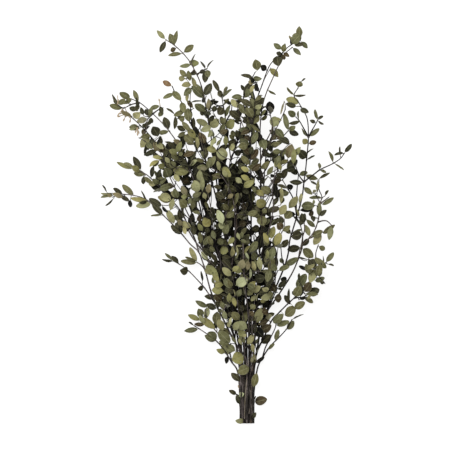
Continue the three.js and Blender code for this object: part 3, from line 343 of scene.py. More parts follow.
TOP_RIGHT_LEAVES = """
299 40 299 27.5 6 g, 292.5 44.5 300 34 9 g, 291 44.5 290 35.5 3 t, 294 44 302 47 5 d, 300 42 307.5 49 4.5 g,
292 47 300.5 55.5 4.5 g, 281 50 273 44.5 5 g, 283 51 284.5 45 3.5 g, 282 54 276 55 4 d, 283 54 288.5 57 4 d,
282 54 284 61 4 b, 276.5 57 278 66.5 9 d, 257.5 71 255.5 60 8 g, 268 72 260.5 66.5 6 k,
278 77.5 270 68.5 6 y, 252 78 240.5 75 4 d, 254 79.5 261 79.5 5 g, 244 92 240.5 85.5 3.5 d,
251 83 243.5 94 5 d, 244 97 231.5 98 5 g, 253 105 252.5 90.5 4 p, 245 99.5 250.5 88 7 g,
254 106.5 263.5 98 7 d, 249 115 237.5 104.5 6 g, 253 119 247 108 7 g, 251.5 106.5 241 100 6 d,
268.5 90.5 275.5 95 2.5 g, 268.5 114 270 101.5 8 k, 267.5 112 262 114.5 5 k, 265.5 107.5 258.5 107 1.5 k,
273 127 275.5 117 9 p, 288 130.5 284 113.5 5 g, 288 130.5 295 126.5 5 g, 289 123.5 300 121.5 3.5 d,
299 102.5 286 99 7 y, 284 101.5 281 115 2 t, 300.5 82 305.5 78.5 1.5 d, 298 88 300 81.5 6.5 g,
294 94.5 286 88 2 g, 294.5 95.5 306 96.5 2.5 d, 300.5 109 308.5 113 5 d, 296 117 288.5 111 6 g,
299.5 119.5 298 111.5 1.5 g, 307.5 136 300.5 128.5 2 g, 309 137 319.5 128.5 4.5 g,
317.5 119.5 315 109.5 3 g, 316.5 123 310 120.5 3.5 d, 318.5 120.5 323 115 3 d, 318.5 120 323 124.5 2 d,
308 144 302.5 139.5 5.5 y, 308.5 144 316 141.5 4.5 b, 308 153.5 313 148 1.5 d, 307 158.5 299 151.5 8 d,
307.5 158.5 315 156.5 2 d, 344.5 153 352 144 4 d, 344 153 334.5 154 3 d, 340.5 156 339.5 147 1.5 d,
333.5 163.5 330 151 3 g, 334 163.5 344 170.5 2 g, 319.5 170 319.5 162.5 3 g, 319.5 170.5 327 172 3 g,
318 179 305.5 175.5 5 g, 319.5 178.5 330.5 173 3 d, 287.5 159.5 291.5 144 9 t, 294 158 300 147 5 y
"""
RIGHT_LEAVES = """
296.5 167 285.5 171 6 d, 296 160 287 170 8 g, 304 182.5 289.5 182.5 5 d, 291 190 289 184 6 k,
291 192 281.5 194 5 g, 303 186.5 311.5 194.5 5 g, 311 181 316 185.5 3 d, 280.5 205 281.5 187 4 p,
289 208 298 196.5 7 p, 279 216 286 205 7 p, 284 219.5 291.5 210.5 8 g, 296.5 214.5 289 214 5 k,
298 205.5 315 205.5 8 g, 304 223 301.5 213.5 6.5 d, 312 217 311 209.5 5 b, 311.5 216 314.5 221.5 5.5 d,
315 227 306 220 4.5 g, 309.5 237 306 224.5 5 p, 303 234 291.5 236.5 8.5 d, 301.5 246.5 310 238.5 5 d,
311.5 238.5 323 231 6 g, 322 232 313.5 244.5 7 p, 323.5 233.5 335.5 225 5 g, 332 226 329 240 5.5 p,
319.5 215.5 319.5 202.5 5 g, 320 215.5 327 210 4.5 d, 322.5 204.5 334 197.5 4 g, 321.5 198 309 197 3 g,
325 196 328 190 2 d, 300 247.5 287.5 250.5 7 d, 301 247.5 314 257 8 g, 317.5 246 325.5 249.5 5 g,
281 247 288 240.5 6 d, 282 231.5 289.5 226.5 5 g, 284 230 277 223 7 b, 274.5 246.5 280 233 8 g,
284 264.5 280.5 258 4 g, 285.5 266 298 258 6 g, 298 257 307.5 259 1.5 d, 326.5 263.5 334 252.5 5 g,
323.5 263 323.5 255.5 1.5 d, 327.5 264 334 265.5 1.5 d, 326.5 268 315 258.5 6 g, 308 270.5 314 259 7 d,
306.5 270.5 299 266 3.5 k, 319 273 319.5 265 6 g, 315.5 278 309.5 270.5 9 g, 315.5 281 325.5 278.5 5 g,
297 287.5 307 274.5 8 g, 299 281.5 299.5 273.5 2.5 d, 288.5 281.5 281 279 6 k
"""
INNER_LEAVES = """
265.5 207 257 200 9 y, 264.5 197.5 256.5 189.5 6 y, 244.5 185.5 254.5 179.5 7 y, 271 193 261.5 187.5 8 g,
235 285.5 248 278.5 9 p, 243 272 232.5 268 6 y, 260.5 271.5 259 256.5 5 p, 269.5 272.5 273 257 6 g,
249.5 252 257.5 240 7 g, 266 239.5 271 227.5 6 y, 236 211 230 216 7 y, 224.5 291 211.5 289.5 7.5 y,
247 329.5 235.5 323.5 11 p, 240 320.5 232 312.5 7 g, 256 324.5 261.5 308.5 8 p, 262.5 298 273 293 8 p,
246.5 345.5 253.5 334.5 6 y, 252.5 354 253.5 344 5 g, 254 366 254.5 356 3 y, 262 345 271 335 8 d,
262 333 271.5 325 8 b, 273 297.5 282 298.5 8 b
"""
LOWER_LEAVES = """
207 307 195 301.5 5 g, 216 308.5 206.5 305 6 d, 201.5 317 197.5 309 7 g, 205.5 319 208.5 307.5 5.5 w,
199.5 320.5 188 314.5 5 y, 204.5 324.5 194 324.5 4 b, 201 318 214.5 329 7 y, 216 325 217.5 312 8 g,
223 330.5 218.5 319.5 7 p, 229 337 219 330 11 g, 194 326 189 322 1.5 d, 198.5 330 184 331.5 5 g,
217.5 341 207.5 333 10 g, 215.5 343 204.5 336 6 g, 233.5 351 220.5 347.5 10 p, 224.5 354 217 350.5 5 y,
243 356.5 232 361 12 y, 228.5 355.5 225.5 364 4 k, 249 368 237.5 372 9 g, 241 382.5 232 373.5 6 d,
253.5 389 257.5 373.5 6.5 g, 237 395.5 229 390.5 4 d, 238 397 244 394.5 5 w, 240 405 237 396 5 d,
254 403 267 400 8.5 b, 254 401 256.5 396.5 1.5 d, 252 419 256 413 4 d, 244 421.5 236.5 421.5 5 p,
290.5 304.5 284 295 4.5 d, 289 303.5 289.5 288.5 3 d, 294.5 298 300.5 286 8 g, 303.5 298 314 302.5 4.5 g,
285.5 316 296 308 9 g, 295 308 305.5 303 7 g, 307.5 294 320 290 8 d, 292 319 304 314.5 1.8 d,
273.5 323 283.5 315 7 g, 277 325.5 289.5 321.5 5.5 g, 287.5 329.5 295 321 6 g, 274.5 341 278.5 329.5 4.5 g,
269.5 351 274.5 344 2.5 g, 256 364 264 357 4 k
"""
# Leaves that only the scene has: within the crown they grow from its thinner twigs.
FURTHER_UPPER_LEAVES = """
276 130.5 283 140.5 6 b, 284 137 288.5 144 4.5 k, 272.3 145.5 279 144 4 g, 272 146.5 268 142.5 3.5 d,
270.3 156.3 261.6 151 4 d, 261 139 265 149 8 g, 251 144.5 258 132.5 5.5 g, 250 130.5 240.7 134.5 5 b,
280.5 158 274.5 167 5.5 y, 282 152 273 151.5 5 g, 281.5 120.5 274 118 2.5 y, 250 140 244.5 136 5 b,
249 145 238 147.5 7 g, 249.5 161 258 149 6 b, 147 122.5 154 119.5 5 d, 150.5 137.5 143 134.5 5 g,
153.5 148 150.5 139 5 d, 144 116 140.5 108 4 d, 147.5 117 145 108.5 4 d, 138 111 130 107.5 5 d,
137 127 129 129 2.5 w, 145 128.5 142 134.5 4.5 b, 146.5 121.5 144 128 3 d, 194.5 130 193 117.5 4 d,
186.5 131.5 177 126.5 5 d, 196.5 140 187.5 128 6 y, 195 145.5 184 135 7 g, 182 144.5 174 140.5 5 t,
176.5 153.5 181 142.5 5 y, 178 153.5 170 150 4.5 y, 200 182 199.5 170.5 5.5 p, 202.5 192 202 176.5 4 p,
208.3 170.5 208.9 158.5 4 g, 216.5 170 210 157 8 k, 222 162 222.7 148 10 p, 218 152 207 148 6 y,
203.7 161.3 206.6 147.6 6 d, 196.3 152 183.6 155.6 5 b, 198 150 196.8 137.2 3.5 p,
206 144.7 199.7 132.6 6.5 b, 214 136.5 209 131 4 p, 219.2 133.8 226.7 131 5 b, 212 144.5 216 138.5 4 p,
226 147 225.5 136 4.5 y, 170.4 163.6 165.3 157.9 4 p, 176 168 170.5 162.5 6 g, 179.6 159.6 172 155.6 6 g,
181 158 187 164 3 d, 174.4 173.4 178.5 182 5 p, 190 182.6 181.3 178 6 b, 208 194 209.5 184.5 5 t,
213 186 221 188 4 d, 187.6 197 181.3 196.4 4.5 y, 178 198.6 174.4 189 5.5 g, 171.5 186 160 189 6 g,
158.5 184.5 153.5 179.5 5 g, 230 172.8 221.5 168.2 6 y, 227 178 223 170.5 4 p, 220 171.5 217.5 162 3.5 p,
236 137.6 230.7 130.7 4.5 g, 238.8 137.6 236 130 4 d, 235 139.5 229 135.5 4 g, 236 140.4 228.4 143.9 4.5 d,
233.6 152.5 230.7 145.6 4.5 g, 238.2 157.6 237.6 149 6 d, 250.3 154.8 252.6 146.7 5 d,
246.2 173 238.8 163.4 6 d, 262.3 177.7 254.3 164.5 6 d, 242.8 184 235.3 177.7 5 p,
266.3 176 272.6 167.4 4.5 g, 280.7 171.4 278.4 162.8 4 y, 268.5 178 273.5 174.5 4 k,
284 178 276.5 173.5 6 d, 276 189 275 180 4 d, 277 200 277.5 189.5 5.5 k, 254.5 178 262 178.5 4 k,
265 185.5 262.5 178.5 4 d, 277.2 134.7 271.5 140 3.5 b, 242 190 235 184 6 k, 249 200 243.5 194.5 5 k,
255 194 253 186 4 g
"""
FURTHER_LOWER_LEAVES = """
191.5 197 201 193 5 g, 193.6 209 195.4 201.5 4 g, 206 200 203.5 192.5 4 p, 208 210 205.7 201.5 3.5 g,
182.7 226.2 177.6 220 4.5 t, 180.4 221 178.7 210 4.5 d, 198.8 222.7 199.4 214.7 4.5 b,
191.3 221.6 191.9 213 4.5 d, 202.8 231.3 197.6 224 4.5 y, 194.8 234.2 192.5 225 5 d,
202.8 246.3 209.7 235.4 5 g, 206.8 234.2 208 227.3 4 d, 213 240 214 230 5 d, 231 238 236.5 230 7 d,
214 253 210.5 246.5 4.5 g, 221 273 216 265 4 d, 214 192 224 198 6 d, 227 199 233 194 4 t,
229 211 223 204 5 g, 241 210 247 203 6 b, 247.5 222 237 225.5 6 b, 239.6 240.5 237.3 232.5 3 p,
240.2 239.4 242 232 4 g, 227.6 245 233.9 237 5 y, 224 245 217.2 238.8 5.5 g, 262.6 214 266 208.4 4.5 g,
261 216 248.2 213 5 g, 264.5 227 259.7 215.5 9 g, 250.5 230.2 259.7 226.7 6 d, 258 249.7 262 236 5.5 k,
268.3 244 263.7 232.5 4.5 y, 270 261.2 273.5 246.8 6 g, 275.2 269.2 275.8 256 4.5 d,
266 259.5 267.5 250.5 3 y, 256.8 260 251.7 253.7 6 g, 253.4 271.5 255.1 260 5 g, 240.5 270 242.5 259.5 7 t,
232 271.5 238 266 4.5 y, 232 276 222.5 268.5 6 p, 231.6 270.4 222 260 6 d, 237 258.5 236.5 245.5 2 w,
244.5 245.5 237 245.5 1.8 p, 231.6 257.2 234 246.8 4 p, 248.5 259.5 246.5 252 2.5 w, 234 261 237 255 2.5 w,
211.5 256 203.4 248.6 6 d, 224 234.8 227.6 225 6 g, 266 286 272.5 273.5 7 d, 277.5 292.5 271 285 7 b,
262.5 289.5 269 289 4 p, 250 293 260.5 286 6.5 p, 248 289.5 254.5 281.5 6 y, 249.5 309.5 255 304.5 5.5 g,
256 306 262 300.5 6 d, 267.5 315 262 307.5 6 k, 265 318.5 272 316 5 t, 269 321 259 324 5 b,
254.5 328 263.5 338 9 k, 236 304.8 231.5 295.5 4.5 y, 228.3 302.5 229.5 293 4 y, 224.4 308.3 221.3 302 4 g,
222.5 301.3 215 295 7 b, 227.3 318.5 222 310.8 4.5 p, 230 326 231.5 317 3 w, 242 344.5 238.5 339 2.5 p,
245 342 240 335.5 6 d, 232 288 227.6 279.6 5 g, 254 280 265 277 8 d, 249.5 279 250.5 268 2 w
"""
FURTHER_OUTER_LEAVES = """
316 268 313 262 5 d, 325 283.5 320.5 282 3 d, 304.2 293 311.5 282.3 8 b, 307.5 295 318.5 293.5 5 d,
296 297 292.5 291 3 d, 300 298 303 285.6 5 d, 299 300 306 297 3 k, 306.5 299 311 296 3 p,
299 204 301.4 193.5 3 w, 299 209 313.5 208.5 5 k, 299 218 296.5 207 2.5 p, 312 193 316 190 3 t,
314 205 313.5 199.5 2.5 p, 318 191 318 182 2.5 p, 197 73.5 190 72.5 5 d, 202 95 197.7 84.3 4 g,
193.8 109 188 100.8 4 b, 205.5 115 200 112.5 4 d, 184 113 181 108 4 d, 254 84 248.5 82.5 5 t,
255 84 251 79 4 k, 258 92.5 254.5 86.5 4 k, 250 94 253.5 86 3.5 p, 249 98 247 90 5 g, 249 110 243.5 107 4 k,
268 115 263 111 5 k, 259 116 257 111 4 g, 297 106.5 286 104.5 5 d, 117 104 113.5 99 3.5 d,
118 105 126 99.7 5 g, 129 104 129 98 5 g, 132 116 121 111 4 t, 146 129 143 123 4 d,
123 197.5 113.5 193.5 4.5 t, 112 197 107 194.5 3 t, 148 201.5 139 202.5 3 d, 203 318 199 312 4 b,
205 324 199 316 4 p, 217 330 214.5 323 4 k, 231 344 218 332 9 g, 222 313 218.5 309 4 d, 231 320 228 311 5 k,
219 307 216 302 4.5 d, 266 302 260 301 3 y
"""
FURTHER_TOP_LEAVES = """
265.5 207 257 200 9 y, 264.5 197.5 256.5 189.5 6 y, 271 193 261.5 187.5 7 g, 223 225 218 209.5 7 w,
235 285.5 248 278.5 9 w, 243 272 232.5 268 6 y, 260.5 271.5 259 256.5 5 p, 224.5 291 211.5 289.5 7.5 y,
212 273 219.5 282 5 y, 201 244.5 199.5 232 5 g, 229.5 304 229 294 4.5 y, 232.5 297 235.8 305.5 4 y,
235 296 234.3 288.5 1.4 p, 239.5 306.5 236.5 300.5 4 d, 223.5 310 221.5 301 4.5 g, 227 321 222.5 309 4.2 p,
248 329 236 322 8.5 p, 246.5 331.5 238 334 6.5 y, 233.5 331 238.5 321.5 6 p, 271.5 296 261 298 6.5 p,
256 294 251 301.5 4 p, 258.5 293 255.5 301 1.5 w, 247 290 252.5 294.5 6 g, 268 292 262 288 3.5 p,
259 300 266 304 6 d, 262 309 268 303 6 d, 268.5 309 262 313 7 b, 262 318 268 312 6 b, 262 322 270 317 6 b,
250 334 257 326 7 d, 258 329 262 337 7 d, 228 312 222 316 5 d, 230 307 237 311 5 d, 238 312 243 305 6 d,
233 318 229 312 5 d, 248 300 251 307 5 d, 249 316 254 312 5 b, 250 322 254 316 5 d, 232 292 228 289 4 d,
225 287 232 292 7 d, 237 297 241 289 5 g, 243 300 240 307 4 b, 236 352 227 346 7 g, 229 345 220 341 6 g,
236 344 232 337 3 g, 242 345 238.5 339 2.5 p, 245.5 343 240 336 5 g, 242.5 337.5 246 334 3 p,
247 346 253.5 334.5 5.5 p, 254 353 251 343.5 4 p, 257 361 253.5 354 3 g, 252 364 252 357 3 t,
227 159 216.5 152.5 7 p, 198.5 193 194 181 8 p, 249 253 257 241 6 g, 243 188 253 180.5 6 y,
222 168 231 176 6 y, 234 212 226.5 218 5 g, 246 215 258 212 5 g, 270.5 240 274.5 226.5 5 y,
268 247 264.5 236 5 g, 274.5 246.5 280.5 233 7 y, 255 270 252 261 4.5 p, 208 265 218 278 6 y,
224 277 230.5 288 6 g, 247 283 254 289 6 g, 270 268 267 282 6 g, 320 278 318 267 6 g,
306 294 318.5 294.5 4 g, 317 193 318 181 2 p, 177.5 119.5 185 119 6 g, 192 133 181.5 122.5 5 g,
160 152 154 142 7 t, 165 153 157 141.5 6 b, 139 138 151 135 4 g, 146 142 152 149 5 g, 144 155 157 150 5 d,
144.5 155 145.5 144 3 d, 160 160 152 151 4 d, 178 155 169.5 150.5 5 y, 170 210.5 173.5 199 5 p,
192 211 194 199 4 g, 192 224 195 235 5 d, 205 247 206 234 6 d, 257.5 107 267 107.5 1.8 d,
233 120 241.5 121 2 d, 250 124.5 260 131.5 3 g, 275 128 283.5 138 6 g, 290 144 279 138 5 d,
293 165 294.5 149 5 y, 275 167 279.5 156 5 g, 314 269 309 259 6 d, 311 275 306 264 6 g,
189.5 123.5 187 109.5 7 g, 208.5 111 208.5 99 4 t, 223.5 105.5 228.5 99 2.5 g, 223 96 227 87 2 g,
240 320.5 232 312.5 7 g, 187 78 179.5 70 4.5 g, 161 137 158 145 3 k, 268 228 262 233 4 k,
259 231 252 228 6 k, 256 238 255.5 247 4 k, 241 226 235 229 5 k, 213 163 208 157 6 k, 236 188 233 183 4 k,
247 196 241 199 4 k, 274 184 276 193 5 k, 242 294 239 301 3 k, 262 308 268 302 5 k, 263 333 256 329 6 k,
229 289 234 284 4 k, 216 137 211 146 3.5 p, 212 130 208 138 3.5 p, 221 139 217.5 146 2.5 g,
201 140 209 147 4 k, 239 142.5 228 142 3.5 k, 234 143 231 150 4 p, 257 148 251 160 5 d,
270 145.5 279.5 144 4.5 g, 283 54 284 46 5 g, 282 57 277 53 4 k, 284 54 289 58 3.5 b, 283 57 279 61 4 k,
291.5 47 291 39 2.5 k, 291 45.5 299 36 8 g, 295 45 302 45.5 4 b, 172 193 161 191 4 k, 162 205 168 213 2.5 k,
314 271 311 283 7 p, 304 287 313 283 6 b, 321 263 318 275 6 g, 213 247 208 236 5 g, 218 263 211 253 4.5 d,
221 268 215 258 4 k, 216 240 211 230 4 g, 138 112 136 97 3 d, 149 118 153 106 3.5 g, 147 127 152 119 3.5 d,
144 133 149 125 2.5 k, 170 131 159 133.5 4 g, 155 141 164 149 5 p, 176 150 168 142 3.5 d,
306 270 314 264 4 p, 256 81 247 79 4 k, 257 83 254 92 4 k, 262 96 255 101 4 g
"""
SHOWN_LEAVES = drawn_leaves(TOP_LEFT_LEAVES, LEFT_UPPER_LEAVES, LEFT_LEAVES, TOP_RIGHT_LEAVES, RIGHT_LEAVES,
                            INNER_LEAVES, LOWER_LEAVES)
FURTHER_FROM = len(SHOWN_LEAVES)
SHOWN_LEAVES += drawn_leaves(FURTHER_UPPER_LEAVES, FURTHER_LOWER_LEAVES, FURTHER_OUTER_LEAVES,
                             FURTHER_TOP_LEAVES)
REST_LEAVES = ((1, 0, (-1, 0.35)), (3, 4, (0.3, 1)))  # stem, its twig, and the way to the tip

# Thin stems that show between the leaves, which only the scene has: the stem that each grows from, its
# thickness at the root and the tip, its heights there, its bark's letter, and its way on the grid.
THIN_STEMS = [
    (10, (0.9, 0.5), (32, 44), "g", "274.5 291, 275 283, 276 270, 277 257, 278 247"),
    (14, (0.9, 0.5), (66, 108), "r", "272 176, 273 165, 272.6 155, 272.6 146"),
    (14, (0.7, 0.4), (70, 100), "g", "276 178, 284.7 168, 291 160.5, 296.5 153"),
    (13, (1.1, 0.6), (52, 112), "k", "248.7 330, 247.8 312, 246 296, 243.5 276, 241 252, 240 236"),
    (12, (1, 0.6), (92, 132), "g", "243 262, 242 240, 239 220, 236 203, 230 188, 221 175, 209 165"),
    (12, (0.8, 0.5), (100, 132), "g", "239 220, 236 200, 232 186, 229 172, 230 160"),
    (13, (1, 0.8), (76, 108), "g", "247.5 334, 246.5 308, 244.5 285, 243.5 262, 243 244"),
    (11, (0.8, 0.5), (92, 124), "p", "221 236, 216 224, 212 212, 209 198"),
    (12, (0.9, 0.5), (70, 116), "r", "240 262, 240.5 248, 239 228, 236 206, 234 190"),
    (11, (0.9, 0.5), (48, 86), "k", "222 262, 216 247, 211 232, 207 219, 204.5 204, 202 190"),
    (11, (0.8, 0.5), (44, 74), "k", "221 262, 219 250, 213.5 240, 209 228"),
    (14, (1, 0.6), (80, 128), "g", "263 270, 265 250, 270.5 228, 273.5 208, 272.5 190, 274 178"),
    (14, (0.8, 0.5), (56, 96), "r", "262 285, 263.8 262, 263 240, 262 226"),
    (13, (0.9, 0.5), (40, 86), "g", "252 322, 256 300, 258 280, 259.5 262, 258.5 247"),
    (8, (0.9, 0.5), (36, 80), "k", "238.5 338, 235 327, 231.5 310, 228 296, 224 284"),
    (8, (0.9, 0.5), (34, 70), "g", "246 347, 245.8 333, 243.5 318, 240.5 306"),
    (13, (0.9, 0.7), (22, 14), "p", "247 357.5, 246.5 372, 245.3 392, 244.6 419"),
    (11, (0.8, 0.7), (20, 13), "g", "244 362, 242.5 376, 242.2 392, 242.3 420"),
    (11, (1, 0.9), (22, 15), "k", "240.7 372, 241 390, 240.6 420"),
    (13, (1, 0.9), (25, 16), "k", "245.5 366, 247.6 384, 246.8 404, 247 420"),
    (12, (0.9, 0.8), (24, 16), "k", "249.5 372, 250.6 392, 250.2 418"),
    (14, (1, 0.9), (22, 15), "k", "252.8 372, 253.2 392, 252.8 416"),
    (12, (0.8, 0.6), (17, 12), "p", "247 368, 249 384, 251.5 396, 249 414"),
    (14, (0.8, 0.5), (20, 15), "g", "251 366, 248.5 380, 250 397, 252.5 416"),
    (13, (0.8, 0.5), (24, 30), "g", "246.5 361, 250 356.5, 254 351"),
    (13, (0.9, 0.7), (48, 76), "r", "249.5 354, 248.8 338, 248.5 325, 249.5 310"),
    (12, (0.8, 0.6), (46, 70), "g", "246 362, 245.4 350, 244.5 338, 241 325, 238 308, 237 292"),
    (14, (0.9, 0.6), (46, 66), "g", "251.5 356, 252 340, 251.5 325, 253 312"),
    (6, (1.2, 0.9), (28, 36), "g", "201 256, 197 249, 191.5 238, 187 228, 184 221"),
    (13, (0.7, 0.45), (126, 130), "r", "262 86, 264.5 79.5, 268 73, 270.5 68.5"),
    (3, (0.6, 0.4), (36, 42), "g", "308 203, 310 197.5, 313.5 193, 316 186.5, 318 180"),
    (3, (0.6, 0.4), (32, 34), "k", "299 257.5, 302 259.5, 305 261, 307.5 260, 310 257.5"),
]

# Where a held stem's places lie: the distance from its cut end, and how far the heap has widened there.
BUNDLE = ((0, 1), (18, 1.02), (34, 1.1), (50, 1.3))


@dataclass(frozen=True, eq=False)
class Outline:
    """Where close foliage may grow, seen from above: between two edges, and outside its gaps."""

    edges: Array  # y, then the left and the right edge
    gaps: Array  # x, y and radius

    def holds(self, points: Array) -> Array:
        """Tests points against the outline.

        Args:
            points: one point or several.

        Returns:
            Whether each lies within it.
        """
        points = np.atleast_2d(points)
        x, y = points[:, 0] / STEP + GRID_MIDDLE[0], GRID_MIDDLE[1] - points[:, 1] / STEP
        left, right = (np.interp(y, self.edges[:, 0], self.edges[:, k]) for k in (1, 2))
        inside = (y >= self.edges[0, 0]) & (y <= self.edges[-1, 0]) & (x > left) & (x < right)
        away = np.hypot(x[:, None] - self.gaps[:, 0], y[:, None] - self.gaps[:, 1])
        return inside & np.all(away > self.gaps[:, 2], axis=1)


CROWN = Outline(table("""
95 208 262, 110 197 272, 125 188 288, 140 168 296, 155 152 300, 170 147 301, 190 146 303, 210 161 302,
230 176 301, 250 199 299, 270 209 291, 290 213 282, 310 219 276, 330 227 268, 350 235 262, 368 240 257
"""), np.empty((0, 3)))
FINE_CROWN = Outline(table("""
98 206 262, 110 200 266, 122 196 272, 134 180 284, 146 162 292, 156 150 298, 170 148 297, 184 150 292,
200 158 286, 220 172 284, 240 188 281, 260 204 280, 280 211 276, 300 217 272, 320 224 268, 340 232 262,
362 239 257
"""), table("""
265.2 126 6, 265.2 134 4, 265.2 163.5 5.5, 264 171 3, 253 172 2, 259 182.3 3, 271 181 2.5, 251 164 1.5,
255.4 146.7 3, 259.4 151.3 2, 275.5 170.3 2.5, 283 164.5 3, 287.6 176 5, 238.2 125.5 4, 242.2 124.4 3,
229.6 153.6 3, 228.4 163.4 2.5, 234.2 161.7 1.5, 280.7 147.3 2.5, 277.8 139.3 1.5, 279.5 107 4, 222 108 7,
186 148 2.5, 192 148.5 2.5, 208.9 137 5, 220.4 143 3, 198.6 154.4 2.5, 208.9 155.6 2.5, 212.9 170.5 2,
209.5 182.6 1.5, 216.3 183 2, 192.2 192.3 3, 214.6 191.2 3, 174 182 3, 178 188 3, 204.3 129.8 3,
206.6 135 4, 200.3 204 3.4, 200.3 207 3, 202.8 213.8 2.2, 213 201.5 3, 214.3 205.5 2, 176 203 2.5,
175.5 211 3, 187.3 210 2.2, 186.7 216.4 2.5, 195.4 218.7 1.8, 214.3 226.7 2, 223 235.4 2, 213.7 257 2.5,
209.7 258.3 1.5, 251.7 218 3, 256.3 224 3, 254 237.6 3, 261.4 251.4 2.5, 270 200 2.5, 270 204 2.5,
275.2 214 1.5, 277.5 226.7 1.5, 157 154.5 4, 168.7 175 1.5, 222 296 2, 234 335 2, 188.5 238 4, 193.5 242 3.5
"""))

STEM_SIDES = 5  # of the solid's stems, which lie on a flat side
STEM_PIECE = 46
TWIG_PIECE = 28
FINE_PIECE = 3.4  # between the rings of the wood that is drawn
TWIG_LOWEST = 9
TWIG_SHARES = (0, 0.33, 0.67, 1)  # of its length, where a rule's twig bends
TWIG_SHORTENING = 0.045  # of its length, at each further try
TWIG_ONWARD, TWIG_INWARD = 0.18, 0.14  # how much a rule's twig turns to its stem's way
BARE_STEM = 0.3
BARE_TWIG = 0.35
GOLDEN_ANGLE = math.pi * (3 - math.sqrt(5))

LEAF_OPEN = (0.75, 1.15)
LEAF_FOLD = (0.1, 0.42)
LEAF_BEND = (-0.06, 0.16)
LEAF_TRIES = 9
LEAF_SLACK = 1.3
LEAF_LIFT = 2.6  # of a drawn leaf's tip, up and down, while it doesn't fit
LEAF_MIDDLE = 0.6  # of its length from the root
GROWN_AFTER = 90  # along a twig from its tip, to where the leaves are full-grown
PAIR_TURN = 0.6  # at most, beyond the quarter turn from the last pair
OPENING_STEP = 0.12  # by which a rule's leaf opens further at its next tries
FACE_UP, FACE_SPIN = 0.15, 0.7  # how far its face turns up, and to either side
COVER_REACH, COVER_RISE = LEAF_LENGTH / 2, 3  # of a leaf that shades what is under it
ROOT_DEPTH = 0.2
ROOT_REACH = 14
SPUR_REACH = 48
SPUR_LEAST = 3.5  # between the wood and a drawn leaf's root, before a spur is grown
SPUR_RADII = (0.6, 0.42)
SPUR_SLOPE = 0.35
SPUR_HIGHEST = 14  # over its root
SPUR_BOW = 0.16  # of its reach
SPUR_RISE = 2.5  # of its end over what lies there
SPUR_HEADROOM = 12  # under the crown's highest place
NECK_LEAST = 2.5  # between the wood and a drawn leaf's root, before its stalk bends to it
WOOD_GAP = 0.9
EDGE_ON_LEAF = 4.9  # a drawn leaf that shows narrower than this isn't in the solids
SURFACE_GAP = 1.1  # under the leaves that only the scene has, whose edges wave
VIEW_SHARES = (0.25, 0.5, 0.75)  # of a drawn leaf's length, where it is kept in view
VIEW_WIDTH = 0.42  # of its width, kept in view to either side
VIEW_LEAST = 1.5

UP = np.array([0.0, 0.0, 1.0])
# Parts of the keys of the draws, which tell one use of them from another
TONE_DRAWS, SHAPE_DRAWS, COLOUR_DRAWS, DRAWN_LEAF_DRAWS = 5, 11, 13, 101


class Draws:
    """A stream of numbers from 0 to 1, the same on every run."""

    MODULUS = 2147483647
    FACTOR = 16807

    def __init__(self, *key: int) -> None:
        """Starts a stream.

        Args:
            key: whole numbers that tell this stream from the others.
        """
        self.state = 7
        for part in key:
            self.state = (self.state * 131 + part + 17) % self.MODULUS
        self.next()
        self.next()

    def next(self) -> float:
        """The next number."""
        self.state = self.state * self.FACTOR % self.MODULUS
        return self.state / self.MODULUS

    def between(self, low: float, high: float) -> float:
        """The next number, between two others."""
        return mix(low, high, self.next())


def mix(low: float, high: float, share: float) -> float:
    """The value at a share of the way from one to another."""
    return low + (high - low) * share


def unit(way: Array) -> Array:
    """A direction of length one."""
    return way / math.sqrt(float(way @ way))


def on_grid(place: Sequence[float], height: float) -> Array:
    """A grid place at a height, in millimetres."""
    return np.array([(place[0] - GRID_MIDDLE[0]) * STEP, (GRID_MIDDLE[1] - place[1]) * STEP, height])


def on_surface(text: str) -> Array:
    """The places of a drawn table, in millimetres at no height."""
    return np.array([on_grid(place, 0) for place in table(text)])


def from_above(ways: Array) -> Array:
    """The lengths of ways, seen from above."""
    return np.hypot(ways[..., 0], ways[..., 1])


def smooth(values: Sequence[float], t: float) -> float:
    """A smooth curve through evenly spaced numbers.

    Args:
        values: the numbers, at even places from 0 to 1.
        t: the place to read.

    Returns:
        The curve's value there.
    """
    place = min(t, 1) * (len(values) - 1)
    i = min(math.floor(place), len(values) - 2)
    f = place - i
    a, b = values[i], values[i + 1]
    before = values[i - 1] if i else 2 * a - b
    after = values[i + 2] if i + 2 < len(values) else 2 * b - a
    leave, arrive = (b - before) / 2, (after - a) / 2
    return a + f * (leave + f * (3 * (b - a) - 2 * leave - arrive + f * (2 * (a - b) + leave + arrive)))


def curve_through(points: Array, parts: int) -> Array:
    """Points on the centripetal curve through the given ones.

    Args:
        points: the points that the curve passes.
        parts: how many points are read between two of them.

    Returns:
        The points read, ends included.
    """
    last = len(points) - 1
    ends = np.vstack([2 * points[0] - points[1], points, 2 * points[-1] - points[-2]])
    place = last * (np.arange(last * parts + 1) / (last * parts))
    i = np.minimum(np.floor(place).astype(int), last - 1)
    w = (place - i)[:, None]
    x0, x1, x2, x3 = (ends[i + k] for k in range(4))
    steps = (x1 - x0, x2 - x1, x3 - x2)
    d0, d1, d2 = (np.sum(step**2, axis=1, keepdims=True) ** 0.25 for step in steps)
    leave = ((x1 - x0) / d0 - (x2 - x0) / (d0 + d1) + (x2 - x1) / d1) * d1
    arrive = ((x2 - x1) / d1 - (x3 - x1) / (d1 + d2) + (x3 - x2) / d2) * d1
    bend, twist = -3 * x1 + 3 * x2 - 2 * leave - arrive, 2 * x1 - 2 * x2 + leave + arrive
    return x1 + w * (leave + w * (bend + w * twist))


